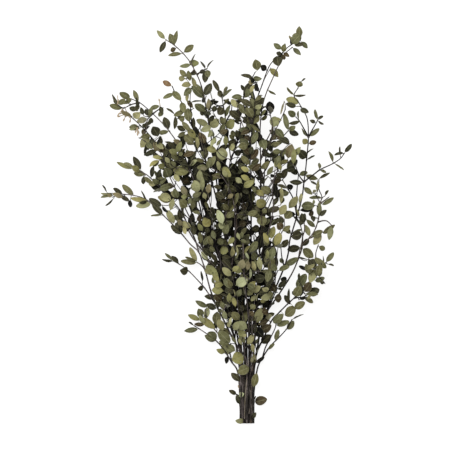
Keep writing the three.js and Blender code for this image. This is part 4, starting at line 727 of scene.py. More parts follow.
def evenly(points: Array, apart: float) -> Array:
    """Points at even distances on the smooth curve through the given ones.

    Args:
        points: the points that the curve passes.
        apart: about how far apart the new ones lie.

    Returns:
        The new points, ends included.
    """
    dense = curve_through(np.asarray(points, float), 8)
    along = np.concatenate([[0], np.cumsum(np.linalg.norm(np.diff(dense, axis=0), axis=1))])
    count = max(2, math.floor(along[-1] / apart + 0.5))
    want = along[-1] * np.arange(count + 1) / count
    k = np.clip(np.searchsorted(along, want, side="left"), 1, len(along) - 1)
    share = (want - along[k - 1]) / (along[k] - along[k - 1])
    return dense[k - 1] + (dense[k] - dense[k - 1]) * share[:, None]


def frames(points: Array) -> tuple[Array, Array]:
    """The direction and a side way at each point of a line.

    Args:
        points: the line.

    Returns:
        The directions, and the sides carried along it without turning.
    """
    last = len(points) - 1
    tangents = np.array([unit(points[min(i + 1, last)] - points[max(i - 1, 0)]) for i in range(last + 1)])
    side = np.array([1.0, 0, 0]) if abs(tangents[0][0]) < 0.9 else np.array([0, 1.0, 0])
    sides = []
    for tangent in tangents:
        side = unit(side - tangent * (side @ tangent))
        sides.append(side)
    return tangents, np.array(sides)


class Axis:
    """A stem or twig: the straight pieces that its solid has, and the fine line that is drawn."""

    def __init__(self, stem: int, line: Array, piece: float, radii: tuple[float, float],
                 parent: tuple[Axis, float] | None = None, bark: Tone = Tone.BARK, lit: bool = False) -> None:
        """Lays out both lines.

        Args:
            stem: which leafy stem it is part of.
            line: the points that its curve passes.
            piece: about the length of the solid's straight pieces.
            radii: at its root and at its tip.
            parent: the axis that it grows from, and the place on it.
            bark: the colour of its bark.
            lit: whether it is spared the painted shade deep in the bunch.
        """
        self.stem, self.radii, self.bark, self.lit = stem, radii, bark, lit
        self.is_stem = parent is None
        self.points = evenly(line, piece)
        self.last = len(self.points) - 1
        self.piece_length = float(np.linalg.norm(self.points[1] - self.points[0]))
        self.tangents, self.sides = frames(self.points)
        self.fine = evenly(line, FINE_PIECE)
        if parent:
            axis, place = parent
            shares = np.linspace(0, 1, len(self.fine))[:, None]
            self.fine = self.fine + (axis.fine_at(place) - self.fine[0]) * (1 - shares) ** 2
        self.leaf_places: list[float] = []

    def place_on(self, place: float) -> tuple[Array, Array, Array]:
        """Reads the axis at a place.

        Args:
            place: where it is, in pieces from the root.

        Returns:
            The point, the direction and the side there.
        """
        i = min(math.floor(place), self.last - 1)
        share = place - i
        at = mix(self.points[i], self.points[i + 1], share)
        tangent = unit(mix(self.tangents[i], self.tangents[i + 1], share))
        side = mix(self.sides[i], self.sides[i + 1], share)
        return at, tangent, unit(side - tangent * (side @ tangent))

    def fine_at(self, place: float) -> Array:
        """Reads the fine line at a place.

        Args:
            place: where it is, in pieces from the root.

        Returns:
            The point there.
        """
        where = min(max(place / self.last, 0), 1) * (len(self.fine) - 1)
        i = min(math.floor(where), len(self.fine) - 2)
        return mix(self.fine[i], self.fine[i + 1], where - i)

    def nearest_from_above(self, point: Array) -> tuple[float, float]:
        """Finds the place nearest to a point, seen from above.

        Args:
            point: the point.

        Returns:
            The distance between them, and the place.
        """
        start, step = self.points[:-1, :2], np.diff(self.points[:, :2], axis=0)
        away = point[:2] - start
        f = np.clip(np.sum(away * step, axis=1) / np.sum(step * step, axis=1), 0, 1)
        gap = np.linalg.norm(away - step * f[:, None], axis=1)
        i = int(np.argmin(gap))
        return float(gap[i]), i + float(f[i])


def away_from(tangent: Array, side: Array, angle: float) -> Array:
    """A direction square to an axis, at an angle round it."""
    return side * math.cos(angle) + np.cross(tangent, side) * math.sin(angle)


def tube_side(sides: int, last: int, k: int, tip: int) -> list[tuple[int, ...]]:
    """The faces along one side of a tube, and the one that closes it at the tip.

    Args:
        sides: how many it has.
        last: the number of its last ring.
        k: which side.
        tip: the vertex at its tip.

    Returns:
        The faces, which count the rings' vertices from the root.
    """
    j = (k + 1) % sides
    faces = [(i * sides + k, i * sides + j, (i + 1) * sides + j, (i + 1) * sides + k) for i in range(last)]
    return [*faces, (last * sides + k, last * sides + j, tip)]


# The leaf's half width in the solids, at shares of its length, as a share of the widest
OUTLINE_AT, OUTLINE_HALF = (0, 0.4, 0.74, 1), (0, 0.96, 0.82, 0)
TEST_U, TEST_V = (grid.ravel() for grid in np.meshgrid(
    [0.3, 0.45, 0.6, 0.75, 0.9, 1], [-1, -0.5, 0, 0.5, 1], indexing="ij"))
TEST_HALF = np.interp(TEST_U, OUTLINE_AT, OUTLINE_HALF)


@dataclass(eq=False)
class Leaf:
    """One leaf: where it grows from, how it lies, and its form."""

    axis: Axis
    place: float
    at: Array
    way: Array
    face: Array
    length: float
    width: float
    fold: float
    bend: float
    tone: Tone = Tone.GREEN
    seed: tuple[int, ...] = (0,)
    lies: bool = False
    shown: bool = False
    neck: Array | None = None  # where its blade is drawn to start, away from the wood

    def __post_init__(self) -> None:
        """Works out the leaf's own directions, its root and its middle."""
        self.along = unit(self.way)
        self.normal = unit(self.face - self.along * (self.face @ self.along))
        self.side = np.cross(self.normal, self.along)
        self.root = self.at - self.along * ROOT_DEPTH
        self.length += ROOT_DEPTH
        self.middle = self.root + self.along * (LEAF_MIDDLE * self.length)
        self.middle -= self.normal * (self.bend * self.length * LEAF_MIDDLE**2)

    def tests(self) -> Array:
        """Lays points all over the blade, for the tests of what it meets.

        Returns:
            The points.
        """
        half = TEST_HALF * self.width / 2
        rise = self.fold * np.abs(TEST_V) * half - self.bend * self.length * TEST_U**2
        return (self.root + np.outer(TEST_U * self.length, self.along) + np.outer(TEST_V * half, self.side)
                + np.outer(rise, self.normal))


class Thicket:
    """The wood and the leaves grown so far, and whether something new fits among them."""

    HIGHER_WOOD = 0.03  # of a height, which counts as nearness of the wood for a drawn leaf
    HIGHER_FOR_SPUR = 0.06  # the same for a spur
    TOO_LOW = 0.6  # of what a spur's root lies lower, which counts as distance
    LEAD = 1.7  # less the cosine of a spur's turn, by which its length counts

    def __init__(self) -> None:
        """Starts bare."""
        self.axes: list[Axis] = []
        self.leaves: list[Leaf] = []
        self.starts, self.steps = np.empty((0, 3)), np.empty((0, 3))
        self.thick, self.owner = np.empty(0), np.empty(0, int)
        self.middles = np.empty((0, 3))
        self.ways = np.empty((0, 3, 3))
        self.reach = np.empty((0, 3))
        self.views = np.empty((0, 4))
        self.spots = np.empty((0, 3))

    def add_axis(self, axis: Axis) -> Axis:
        """Takes in a stem or twig.

        Args:
            axis: the stem or twig.

        Returns:
            The same stem or twig.
        """
        self.starts = np.vstack([self.starts, axis.points[:-1]])
        self.steps = np.vstack([self.steps, np.diff(axis.points, axis=0)])
        shares = np.arange(axis.last) / axis.last
        self.thick = np.concatenate([self.thick, mix(*axis.radii, shares)])
        self.owner = np.concatenate([self.owner, np.full(axis.last, len(self.axes))])
        self.spots = np.vstack([self.spots, axis.fine])
        self.axes.append(axis)
        return axis

    def add_leaf(self, leaf: Leaf) -> None:
        """Takes in a leaf.

        Args:
            leaf: the leaf.
        """
        self.middles = np.vstack([self.middles, leaf.middle])
        self.ways = np.concatenate([self.ways, [[leaf.along, leaf.side, leaf.normal]]])
        self.reach = np.vstack([self.reach, [leaf.length, leaf.width / 2 + 1, 2]])
        self.spots = np.vstack([self.spots, leaf.tests()])
        self.leaves.append(leaf)
        leaf.axis.leaf_places.append(leaf.place)

    def clear_of_wood(self, points: Array, gap: float, left_out: Axis | None = None) -> bool:
        """Whether points keep a gap to every axis but one.

        Args:
            points: the points to test.
            gap: the least distance to the wood's surface.
            left_out: an axis that they may touch.

        Returns:
            True where they all do.
        """
        middle = points.mean(axis=0)
        span = float(np.max(np.linalg.norm(points - middle, axis=1))) + gap + STEM_RADIUS + STEM_PIECE / 2 + 4
        near = np.linalg.norm(self.starts + self.steps / 2 - middle, axis=1) < span
        if left_out is not None:
            near &= self.owner != self.axes.index(left_out)
        if not near.any():
            return True
        starts, steps = self.starts[near], self.steps[near]
        away = points[:, None] - starts
        f = np.clip(np.sum(away * steps, axis=2) / np.sum(steps * steps, axis=1), 0, 1)
        gaps = np.linalg.norm(away - steps * f[..., None], axis=2)
        return bool(np.all(gaps >= self.thick[near] + gap))

    def clear_of_leaves(self, points: Array, span: float, middle: Array) -> bool:
        """Whether points keep out of the leaves that are there.

        Args:
            points: the points to test.
            span: how far from the middle a leaf may reach, less its own length's share.
            middle: the middle of what is tested.

        Returns:
            True where they all do.
        """
        near = np.linalg.norm(self.middles - middle, axis=1) < span + self.reach[:, 0] * 0.6 + 2
        if not near.any():
            return True
        offset = points[:, None] - self.middles[near]
        local = np.einsum("pnk,nwk->pnw", offset, self.ways[near])
        limits = self.reach[near] * [0.48, 1, 1] + [1, 0, 0]
        return bool(np.all(np.sum((local / limits) ** 2, axis=2) >= 1))

    def leaves_over(self, points: Array) -> Array:
        """Counts the leaves that lie over points.

        Args:
            points: the points.

        Returns:
            How many lie over each, or nearly so.
        """
        gap = self.middles[None] - points[:, None]
        close = from_above(gap) < COVER_REACH
        return np.sum(close & (gap[..., 2] > COVER_RISE), axis=1)

    def top_at(self, points: Array, radius: float) -> float:
        """Finds the highest wood or leaf at some points, seen from above.

        Args:
            points: the points.
            radius: how far from one of them it may lie.

        Returns:
            Its height, or 0 where there is none.
        """
        gap = self.spots[None, :, :2] - points[:, None, :2]
        near = np.any(from_above(gap) < radius, axis=0)
        return float(self.spots[near, 2].max(initial=0))

    def keep_in_view(self, points: Array, radius: float) -> None:
        """Keeps what is at some points in view: no leaf of a rule that comes later lies over it."""
        self.views = np.vstack([self.views, np.column_stack([points, np.full(len(points), radius)])])

    def hides_view(self, points: Array) -> bool:
        """Tests a leaf against what is kept in view.

        Args:
            points: points on the leaf.

        Returns:
            Whether one of them lies over it.
        """
        middle = points.mean(axis=0)
        near = from_above(self.views[:, :2] - middle[:2]) < LEAF_LENGTH
        gap = points[:, None] - self.views[None, near, :3]
        return bool(np.any((from_above(gap) < self.views[near, 3]) & (gap[..., 2] > 0)))

    def leaf_fits(self, leaf: Leaf, floor_gap: float = FLOOR_GAP) -> bool:
        """Tests a leaf against the surface, the wood and the leaves that are there.

        Args:
            leaf: the leaf.
            floor_gap: its least height over the surface.

        Returns:
            Whether it clears them all.
        """
        tests = leaf.tests()
        if np.any(tests[:, 2] < LEAF_THICKNESS / 2 * abs(leaf.normal[2]) + floor_gap):
            return False
        if not self.clear_of_leaves(tests, leaf.length * 0.6, leaf.middle):
            return False
        outer = TEST_U > 0.5
        return (self.clear_of_wood(tests[outer], WOOD_GAP)
                and self.clear_of_wood(tests[~outer], WOOD_GAP, leaf.axis))

    def wood_near(self, root: Array) -> tuple[Axis, float] | None:
        """The wood that a drawn leaf grows from: the nearest from above, and rather the upper one.

        Args:
            root: where the leaf is drawn to start.

        Returns:
            The axis and the place on it, or nothing within reach.
        """
        best, found = math.inf, None
        for axis in self.axes:
            away, place = axis.nearest_from_above(root)
            if away > ROOT_REACH:
                continue
            score = away - self.HIGHER_WOOD * axis.place_on(place)[0][2]
            if score < best:
                best, found = score, (axis, place)
        return found

    def wood_for_spur(self, root: Array, top: float) -> tuple[Axis, float] | None:
        """The wood that a spur to a drawn leaf grows from: near, further back along it, and rather high.

        Args:
            root: where the leaf is drawn to start.
            top: the height that the leaf lies over.

        Returns:
            The axis and the place on it, or nothing within reach.
        """
        best, found = math.inf, None
        for axis in self.axes:
            away = root[:2] - axis.fine[:, :2]
            far = from_above(away)
            onward = np.gradient(axis.fine[:, :2], axis=0)
            lead = np.sum(away * onward, axis=1) / (from_above(onward) * far + 1)
            low = np.maximum(top - axis.fine[:, 2], 0)
            score = far * (self.LEAD - lead) - self.HIGHER_FOR_SPUR * axis.fine[:, 2] + self.TOO_LOW * low
            score = np.where(far < SPUR_REACH, score, math.inf)
            k = int(np.argmin(score))
            if score[k] < best:
                best, found = score[k], (axis, k / (len(axis.fine) - 1) * axis.last)
        return found


@dataclass(frozen=True)
class TwigRule:
    """Twigs that grow along the stems, each where it meets nothing."""

    salt: tuple[int, ...]  # in the key of its draws
    spacing: float
    lengths: tuple[float, float]
    leans: tuple[float, float]
    tries: int
    radii: tuple[float, float]
    lowest: float
    probe: float
    barks: tuple[Tone, ...] = (Tone.BARK,)
    outline: Outline = CROWN

    def grow(self, thicket: Thicket) -> None:
        """Grows the twigs of this rule on every stem.

        Args:
            thicket: what is there already.
        """
        for stem in [axis for axis in thicket.axes if axis.is_stem]:
            place, k = stem.last * self.lowest, 0
            while place < stem.last - 1:
                if self.outline.holds(stem.place_on(place)[0])[0]:
                    self.grow_one(thicket, stem, place, k)
                place += self.spacing / stem.piece_length
                k += 1

    def grow_one(self, thicket: Thicket, stem: Axis, place: float, k: int) -> None:
        """Grows a twig at one place, or none where none fits.

        Args:
            thicket: what is there already.
            stem: the stem that it grows from.
            place: where on that stem.
            k: the number of the place.
        """
        base, tangent, side = stem.place_on(place)
        draw = Draws(stem.stem, k, *self.salt)
        turn = draw.next() * math.pi
        full = draw.between(*self.lengths)
        t = np.array(TWIG_SHARES)[:, None]
        for attempt in range(self.tries):
            length = full * (1 - TWIG_SHORTENING * attempt)
            lean = mix(*self.leans, ((attempt * 5) % 7) / 6)
            away = away_from(tangent, side, turn + (k + attempt) * GOLDEN_ANGLE)
            onward = (math.cos(lean) + TWIG_ONWARD * t) * tangent
            line = base + length * t * (onward + (math.sin(lean) - TWIG_INWARD * t) * away)
            outer = line[1:]
            if not (self.outline.holds(outer).all() and outer[:, 2].min() > TWIG_LOWEST
                    and outer[:, 2].max() < CROWN_HEIGHT):
                continue
            probes = evenly(line, self.probe)[2:]
            if not thicket.clear_of_wood(probes, self.radii[0] + self.probe / 4):
                continue
            if self.salt and not thicket.clear_of_leaves(probes, length / 2, probes.mean(axis=0)):
                continue
            bark = self.barks[(k + stem.stem) % len(self.barks)]
            thicket.add_axis(Axis(stem.stem, line, TWIG_PIECE, self.radii, (stem, place), bark))
            return


@dataclass(frozen=True)
class PairRule:
    """Leaves in pairs down each stem and twig within the crown, each pair a quarter turn from the last."""

    salt: int
    spacing: float
    sizes: tuple[float, float]
    young: float  # the size of the leaves at an axis's tip, as a share of the others
    tries: int
    floor_gap: float
    least_facing: float  # up, from 0 to 1
    bare: float | None  # the share of an axis that has no leaves, where it isn't the solids' own
    opening: tuple[float, float] = LEAF_OPEN
    outline: Outline = CROWN

    def grow(self, thicket: Thicket) -> None:
        """Grows the pairs of this rule on every axis.

        Args:
            thicket: what is there already.
        """
        for number, axis in enumerate(thicket.axes):
            lowest = axis.last * (self.bare or (BARE_STEM if axis.is_stem else BARE_TWIG))
            place, pair = axis.last - 0.02, 0
            while place >= lowest:
                if self.outline.holds(axis.place_on(place)[0])[0]:
                    self.grow_pair(thicket, axis, place, number, pair)
                place -= self.spacing / axis.piece_length
                pair += 1

    def grow_pair(self, thicket: Thicket, axis: Axis, place: float, number: int, pair: int) -> None:
        """Grows the two leaves of a pair, each where it fits.

        Args:
            thicket: what is there already.
            axis: the stem or twig that they grow from.
            place: where on it.
            number: the axis's number.
            pair: the pair's number.
        """
        draw = Draws(number, pair, self.salt)
        start = pair * math.pi / 2 + draw.next() * PAIR_TURN
        age = min(1, self.young + pair * self.spacing / GROWN_AFTER)
        for half in (0, 1):
            leaf = self.leaf(thicket, axis, place, start + half * math.pi, draw, age)
            if leaf is not None:
                leaf.seed = (number, pair, half, self.salt)
                leaf.tone = rule_tone(leaf)
                thicket.add_leaf(leaf)

    def leaf(self, thicket: Thicket, axis: Axis, place: float, angle: float, draw: Draws,
             age: float) -> Leaf | None:
        """One leaf of a pair.

        Args:
            thicket: what is there already.
            axis: the stem or twig that it grows from.
            place: where on it.
            angle: the first way round the axis to try.
            draw: the pair's stream of numbers.
            age: the leaf's size as a share of a full-grown one.

        Returns:
            The leaf, or nothing where none fits.
        """
        base, tangent, side = axis.place_on(place)
        length = LEAF_LENGTH * draw.between(*self.sizes) * age
        facing = mix(self.least_facing, 1, draw.next())
        spin = draw.next() * 2 - 1
        fold, bend = draw.between(*LEAF_FOLD), draw.between(*LEAF_BEND)
        for attempt in range(self.tries):
            away = away_from(tangent, side, angle + attempt * GOLDEN_ANGLE * 0.5)
            opened = mix(*self.opening, facing) + attempt % 3 * OPENING_STEP
            way = tangent * math.cos(opened) + away * math.sin(opened)
            across = unit(np.cross(way, UP))
            face = tangent * (1 - facing) + UP * (facing + FACE_UP) + across * (spin * FACE_SPIN)
            leaf = Leaf(axis, place, base, way, face, length, length * LEAF_WIDTH_SHARE, fold, bend)
            if thicket.leaf_fits(leaf, self.floor_gap) and self.shows_the_rest(thicket, leaf):
                return leaf
        return None

    def shows_the_rest(self, thicket: Thicket, leaf: Leaf) -> bool:
        """Tests a leaf that the solids don't have against the gaps and against what is kept in view.

        Args:
            thicket: what is there already.
            leaf: the leaf.

        Returns:
            Whether it keeps off them.
        """
        if self.bare is None:
            return True
        tests = leaf.tests()
        return bool(self.outline.holds(tests).all()) and not thicket.hides_view(tests)


# Shares of the tones among the leaves that aren't drawn, near the surface and at the top; the darker ones,
# commoner low down, stand partly for painted shade in the bunch
RULE_TONES = (
    (Tone.DARK, 0.5, 0.2), (Tone.GREEN, 0.34, 0.42), (Tone.PALE, 0.05, 0.16), (Tone.YELLOW, 0.04, 0.14),
    (Tone.BROWN, 0.05, 0.05), (Tone.TAN, 0.02, 0.03),
)


def rule_tone(leaf: Leaf) -> Tone:
    """Chooses the tone of a leaf that isn't drawn: darker ones, partly painted shade, are commoner low down.

    Args:
        leaf: the leaf.

    Returns:
        Its tone.
    """
    high = min(max(leaf.middle[2] / 120, 0), 1)
    rest = Draws(*leaf.seed, TONE_DRAWS).next() * sum(mix(low, top, high) for _, low, top in RULE_TONES)
    for tone, low, top in RULE_TONES:
        rest -= mix(low, top, high)
        if rest <= 0:
            return tone
    return Tone.GREEN


@dataclass
class Growth:
    """The whole bunch as lines and leaves, before any mesh: first what the solids have, then the rest."""

    solid_twigs: TwigRule = TwigRule(
        salt=(), spacing=180, lengths=(58, 100), leans=(0.55, 0.85), tries=14,
        radii=(TWIG_RADIUS, TWIG_TIP_RADIUS), lowest=BARE_STEM, probe=7)
    solid_pairs: PairRule = PairRule(
        salt=7, spacing=126, sizes=(0.78, 1.05), young=1, tries=LEAF_TRIES, floor_gap=FLOOR_GAP,
        least_facing=0, bare=None)
    shoots: TwigRule = TwigRule(
        salt=(31,), spacing=70, lengths=(120, 210), leans=(0.08, 0.26), tries=8, radii=(0.9, 0.45),
        lowest=0.2, probe=5, barks=(Tone.GREY_BARK, Tone.BARK, Tone.RED_BARK), outline=FINE_CROWN)
    fine_twigs: TwigRule = TwigRule(
        salt=(37,), spacing=30, lengths=(44, 96), leans=(0.35, 0.85), tries=14, radii=(0.65, 0.38),
        lowest=0.18, probe=4, barks=(Tone.BARK, Tone.RED_BARK, Tone.GREY_BARK), outline=FINE_CROWN)
    fine_pairs: PairRule = PairRule(
        salt=41, spacing=17, sizes=(0.85, 1.36), young=0.72, tries=14, floor_gap=SURFACE_GAP,
        least_facing=0.35, bare=0.17, opening=(0.35, 1.0), outline=FINE_CROWN)
    thicket: Thicket = field(default_factory=Thicket)

    def grow(self) -> Thicket:
        """Grows everything in the solids' order, then what only the scene has.

        Returns:
            All the wood and leaves.
        """
        drawn = [self.grow_drawn(index, plan) for index, plan in enumerate(STEMS)]
        self.solid_twigs.grow(self.thicket)
        self.grow_rest_leaves(drawn)
        missing = [index for index in range(FURTHER_FROM) if not self.grow_shown(index, LEAF_TRIES, False)]
        self.solid_pairs.grow(self.thicket)
        in_solids = len(self.thicket.leaves)
        self.grow_thin_stems()
        self.shoots.grow(self.thicket)
        widest_first = sorted(range(FURTHER_FROM, len(SHOWN_LEAVES)), key=lambda i: -SHOWN_LEAVES[i].width)
        further = [*missing, *widest_first]
        placed = sum(self.grow_on_spur(index) for index in further)
        self.keep_in_view()
        self.fine_twigs.grow(self.thicket)
        self.fine_pairs.grow(self.thicket)
        LOG.info("leaves: %d in the solids, %d of %d further drawn, %d in all on %d stems and twigs",
                 in_solids, placed, len(further), len(self.thicket.leaves), len(self.thicket.axes))
        return self.thicket

    def grow_thin_stems(self) -> None:
        """Grows the thin stems that are drawn, each from its place on a leafy stem."""
        stems = {axis.stem: axis for axis in self.thicket.axes if axis.is_stem}
        for index, radii, heights, bark, route in THIN_STEMS:
            points = on_surface(route)
            place = stems[index].nearest_from_above(points[0])[1]
            points[:, 2] = mix(*heights, np.linspace(0, 1, len(points)))
            root = stems[index], place
            # stems with grey or pale bark are spared the painted shade deep in the bunch
            self.thicket.add_axis(Axis(index, points, TWIG_PIECE, radii, root, BARKS[bark], bark in "gp"))

    def keep_in_view(self) -> None:
        """Keeps the drawn leaves, the wood that only the scene has and the heap's upper stems in view."""
        for leaf in self.thicket.leaves:
            if leaf.shown:
                start = leaf.root if leaf.neck is None else leaf.neck
                end = leaf.root + leaf.along * leaf.length
                middles = np.array([mix(start, end, share) for share in VIEW_SHARES])
                self.thicket.keep_in_view(middles, max(leaf.width * VIEW_WIDTH, VIEW_LEAST))
        for axis in self.thicket.axes:
            upper = axis.is_stem and STEMS[axis.stem].row > 1
            if upper or axis.radii[0] not in (STEM_RADIUS, TWIG_RADIUS):
                self.thicket.keep_in_view(axis.fine, VIEW_LEAST)

    def grow_on_spur(self, index: int) -> bool:
        """Grows a drawn leaf that the solids don't have, with a thin twig to its root where no wood is near.

        Args:
            index: the leaf's number.

        Returns:
            Whether it grew.
        """
        drawn = SHOWN_LEAVES[index]
        root, tip = on_grid(drawn.root, 0), on_grid(drawn.tip, 0)
        line = np.array([mix(root, tip, share) for share in (0, *VIEW_SHARES, 1)])
        lies_over = index >= FURTHER_FROM and drawn.tone not in (Tone.SHADE_BLACK, Tone.DARK, Tone.BROWN)
        top = self.thicket.top_at(line, max(drawn.width * STEP * 0.4, 2)) if lies_over else 0
        wood = self.thicket.wood_for_spur(root, top)
        if wood is None:
            return False
        axis, place = wood
        start = axis.fine_at(place)
        reach = math.hypot(*(root - start)[:2])
        if reach > SPUR_LEAST or top > start[2]:
            height = max(start[2] + min(SPUR_SLOPE * reach, SPUR_HIGHEST), top + SPUR_RISE)
            end = np.array([root[0], root[1], min(height, CROWN_HEIGHT - SPUR_HEADROOM)])
            ahead = unit(axis.place_on(place)[1])
            line = np.array([start, mix(start, end, 0.5) + ahead * (SPUR_BOW * reach), end])
            spur = Axis(axis.stem, line, reach / 2, SPUR_RADII, (axis, place), axis.bark)
            wood = self.thicket.add_axis(spur), spur.last
        return self.grow_shown(index, 2 * LEAF_TRIES, True, wood, top)

    def grow_drawn(self, index: int, plan: StemPlan) -> list[Axis]:
        """Grows a stem and its drawn twigs.

        Args:
            index: the stem's number.
            plan: how it is drawn.

        Returns:
            The twigs, in the plan's order.
        """
        radii = (STEM_RADIUS, STEM_TIP_RADIUS)
        stem = self.thicket.add_axis(Axis(index, self.stem_line(plan), STEM_PIECE, radii, None, plan.bark))
        radii = (TWIG_RADIUS, TWIG_TIP_RADIUS)
        twigs = []
        for twig in plan.twigs:
            places, tip_height = twig.rsplit(",", 1)
            points = on_surface(places)
            place = stem.nearest_from_above(points[0])[1]
            points[0] = stem.place_on(place)[0]
            shares = np.arange(1, len(points)) / (len(points) - 1)
            points[1:, 2] = mix(points[0][2], float(tip_height), shares**0.8)
            axis = Axis(index, points, TWIG_PIECE, radii, (stem, place), plan.bark)
            twigs.append(self.thicket.add_axis(axis))
        return twigs

    @staticmethod
    def stem_line(plan: StemPlan) -> Array:
        """Lays out a stem's middle line.

        Args:
            plan: how the stem is drawn.

        Returns:
            The points that the line passes, from its cut end to its tip.
        """
        flat = STEM_RADIUS * math.cos(math.pi / STEM_SIDES)
        slot = flat + plan.row * STEM_PITCH * math.sqrt(0.75)
        held = []
        for back, spread in BUNDLE[:plan.held]:
            place = (CUT_ENDS[0] + plan.place * STEM_PITCH * spread / STEP, CUT_ENDS[1] - back)
            held.append(on_grid(place, flat + (slot - flat) * spread + (spread - 1) * STEM_RADIUS))
        free = on_surface(plan.route)
        along = np.cumsum(np.linalg.norm(np.diff(np.vstack([held[-1], free])[:, :2], axis=0), axis=1))
        for point, distance in zip(free, along, strict=True):
            point[2] = smooth([held[-1][2], *plan.heights], distance / along[-1])
        return np.vstack([held, free])

    def grow_rest_leaves(self, drawn: list[list[Axis]]) -> None:
        """Lays the two flat leaves that the bunch rests on.

        Args:
            drawn: the drawn twigs of each stem.
        """
        for stem, twig, way in REST_LEAVES:
            axis = drawn[stem][twig]
            at = axis.points[-1] * [1, 1, 0] + [0, 0, LEAF_THICKNESS / 2]
            leaf = Leaf(axis, axis.last, at, np.array([*way, 0.0]), UP, LEAF_LENGTH,
                        LEAF_LENGTH * LEAF_WIDTH_SHARE, 0, 0, seed=(stem, twig), lies=True)
            self.thicket.add_leaf(leaf)

    def grow_shown(self, index: int, tries: int, forced: bool,
                   wood: tuple[Axis, float] | None = None, over: float = 0) -> bool:
        """Grows a leaf that is drawn: on the nearest wood, and turned so that it shows as wide.

        Args:
            index: the leaf's number.
            tries: how many ways to turn and lift it are tried.
            forced: whether it grows also where it is narrow, or touches another leaf.
            wood: the axis and the place on it, where it isn't the nearest.
            over: a height that its middle stays over, where that can be.

        Returns:
            Whether it grew.
        """
        drawn = SHOWN_LEAVES[index]
        shown = drawn.width * STEP
        if shown < EDGE_ON_LEAF and not forced:
            return False
        root, tip = on_grid(drawn.root, 0), on_grid(drawn.tip, 0)
        wood = wood or self.thicket.wood_near(root)
        if wood is None:
            return False
        axis, place = wood
        at = axis.place_on(place)[0]
        flat = math.hypot(tip[0] - at[0], tip[1] - at[1])
        away = math.hypot(*(root - at)[:2])
        full = max(flat, min(LEAF_LENGTH, flat * LEAF_SLACK))
        width = max(shown, min(full, LEAF_LENGTH) * LEAF_WIDTH_SHARE * 0.8)
        roll = math.acos(min(1, shown / width))
        slope = math.sqrt(max(full * full - flat * flat, 0))
        seed = (DRAWN_LEAF_DRAWS, index)
        draw = Draws(*seed)
        slope_sign, roll_sign = (1 if draw.next() < 0.6 else -1), (1 if draw.next() < 0.5 else -1)
        fold, bend = draw.between(*LEAF_FOLD), draw.between(*LEAF_BEND)
        spare = None
        for attempt in range(tries):
            shift = attempt // 2 * LEAF_LIFT * (1 if attempt % 4 < 2 else -1)
            rise = slope * slope_sign * (-1 if attempt % 2 else 1) + shift
            rise = min(max(rise, 2 * (over - at[2])), CROWN_HEIGHT - at[2])
            way = np.array([tip[0] - at[0], tip[1] - at[1], rise])
            length = math.sqrt(way @ way)
            turned = roll * roll_sign * (-1 if attempt % 3 == 2 else 1)
            level = unit(UP - way * (way[2] / length**2))
            across = unit(np.cross(level, way))
            face = level * math.cos(turned) + across * math.sin(turned)
            leaf = Leaf(axis, place, at, way, face, length, width, fold, bend, drawn.tone, seed, shown=True)
            if away > NECK_LEAST:
                leaf.neck = np.array([root[0], root[1], at[2] + rise * min(away / flat, LEAF_MIDDLE)])
            if self.thicket.leaf_fits(leaf):
                self.thicket.add_leaf(leaf)
                return True
            if spare is None and leaf.tests()[:, 2].min() > SURFACE_GAP:
                spare = leaf
        if forced and spare is not None:
            self.thicket.add_leaf(spare)
            return True
        return False


class Shade:
    """A socket of a material's nodes, so that shader maths is written as expressions."""

    def __init__(self, nodes: NodeTree, socket: bpy.types.NodeSocket) -> None:
        """Wraps a socket."""
        self.nodes, self.socket = nodes, socket

    def _math(self, operation: str, *values: Shade | float) -> Shade:
        """Adds a Math node on values, which become its sockets in order."""
        return self.nodes.add("ShaderNodeMath", {"operation": operation}, dict(enumerate(values)))

    def __add__(self, other: Shade | float) -> Shade:
        """This plus another."""
        return self._math("ADD", self, other)

    def __sub__(self, other: Shade | float) -> Shade:
        """This less another."""
        return self._math("SUBTRACT", self, other)

    def __rsub__(self, other: float) -> Shade:
        """A number less this."""
        return self._math("SUBTRACT", other, self)

    def __mul__(self, other: Shade | float) -> Shade:
        """This times another."""
        return self._math("MULTIPLY", self, other)

    __radd__, __rmul__ = __add__, __mul__

    def absolute(self) -> Shade:
        """This without its sign."""
        return self._math("ABSOLUTE", self)

    def fraction(self) -> Shade:
        """What is left of this above a whole number."""
        return self._math("FRACT", self)

    def step(self, low: float, high: float) -> Shade:
        """A smooth step from 0 at the low value to 1 at the high one."""
        return self.nodes.add("ShaderNodeMapRange", {"interpolation_type": "SMOOTHSTEP"}, {
            "Value": self, "From Min": low, "From Max": high})


Value = Shade | float | Sequence[float]
# black is only mixed in as painted shade
WHITE, SHADE_BLACK = (1, 1, 1, 1), (0, 0, 0, 1)


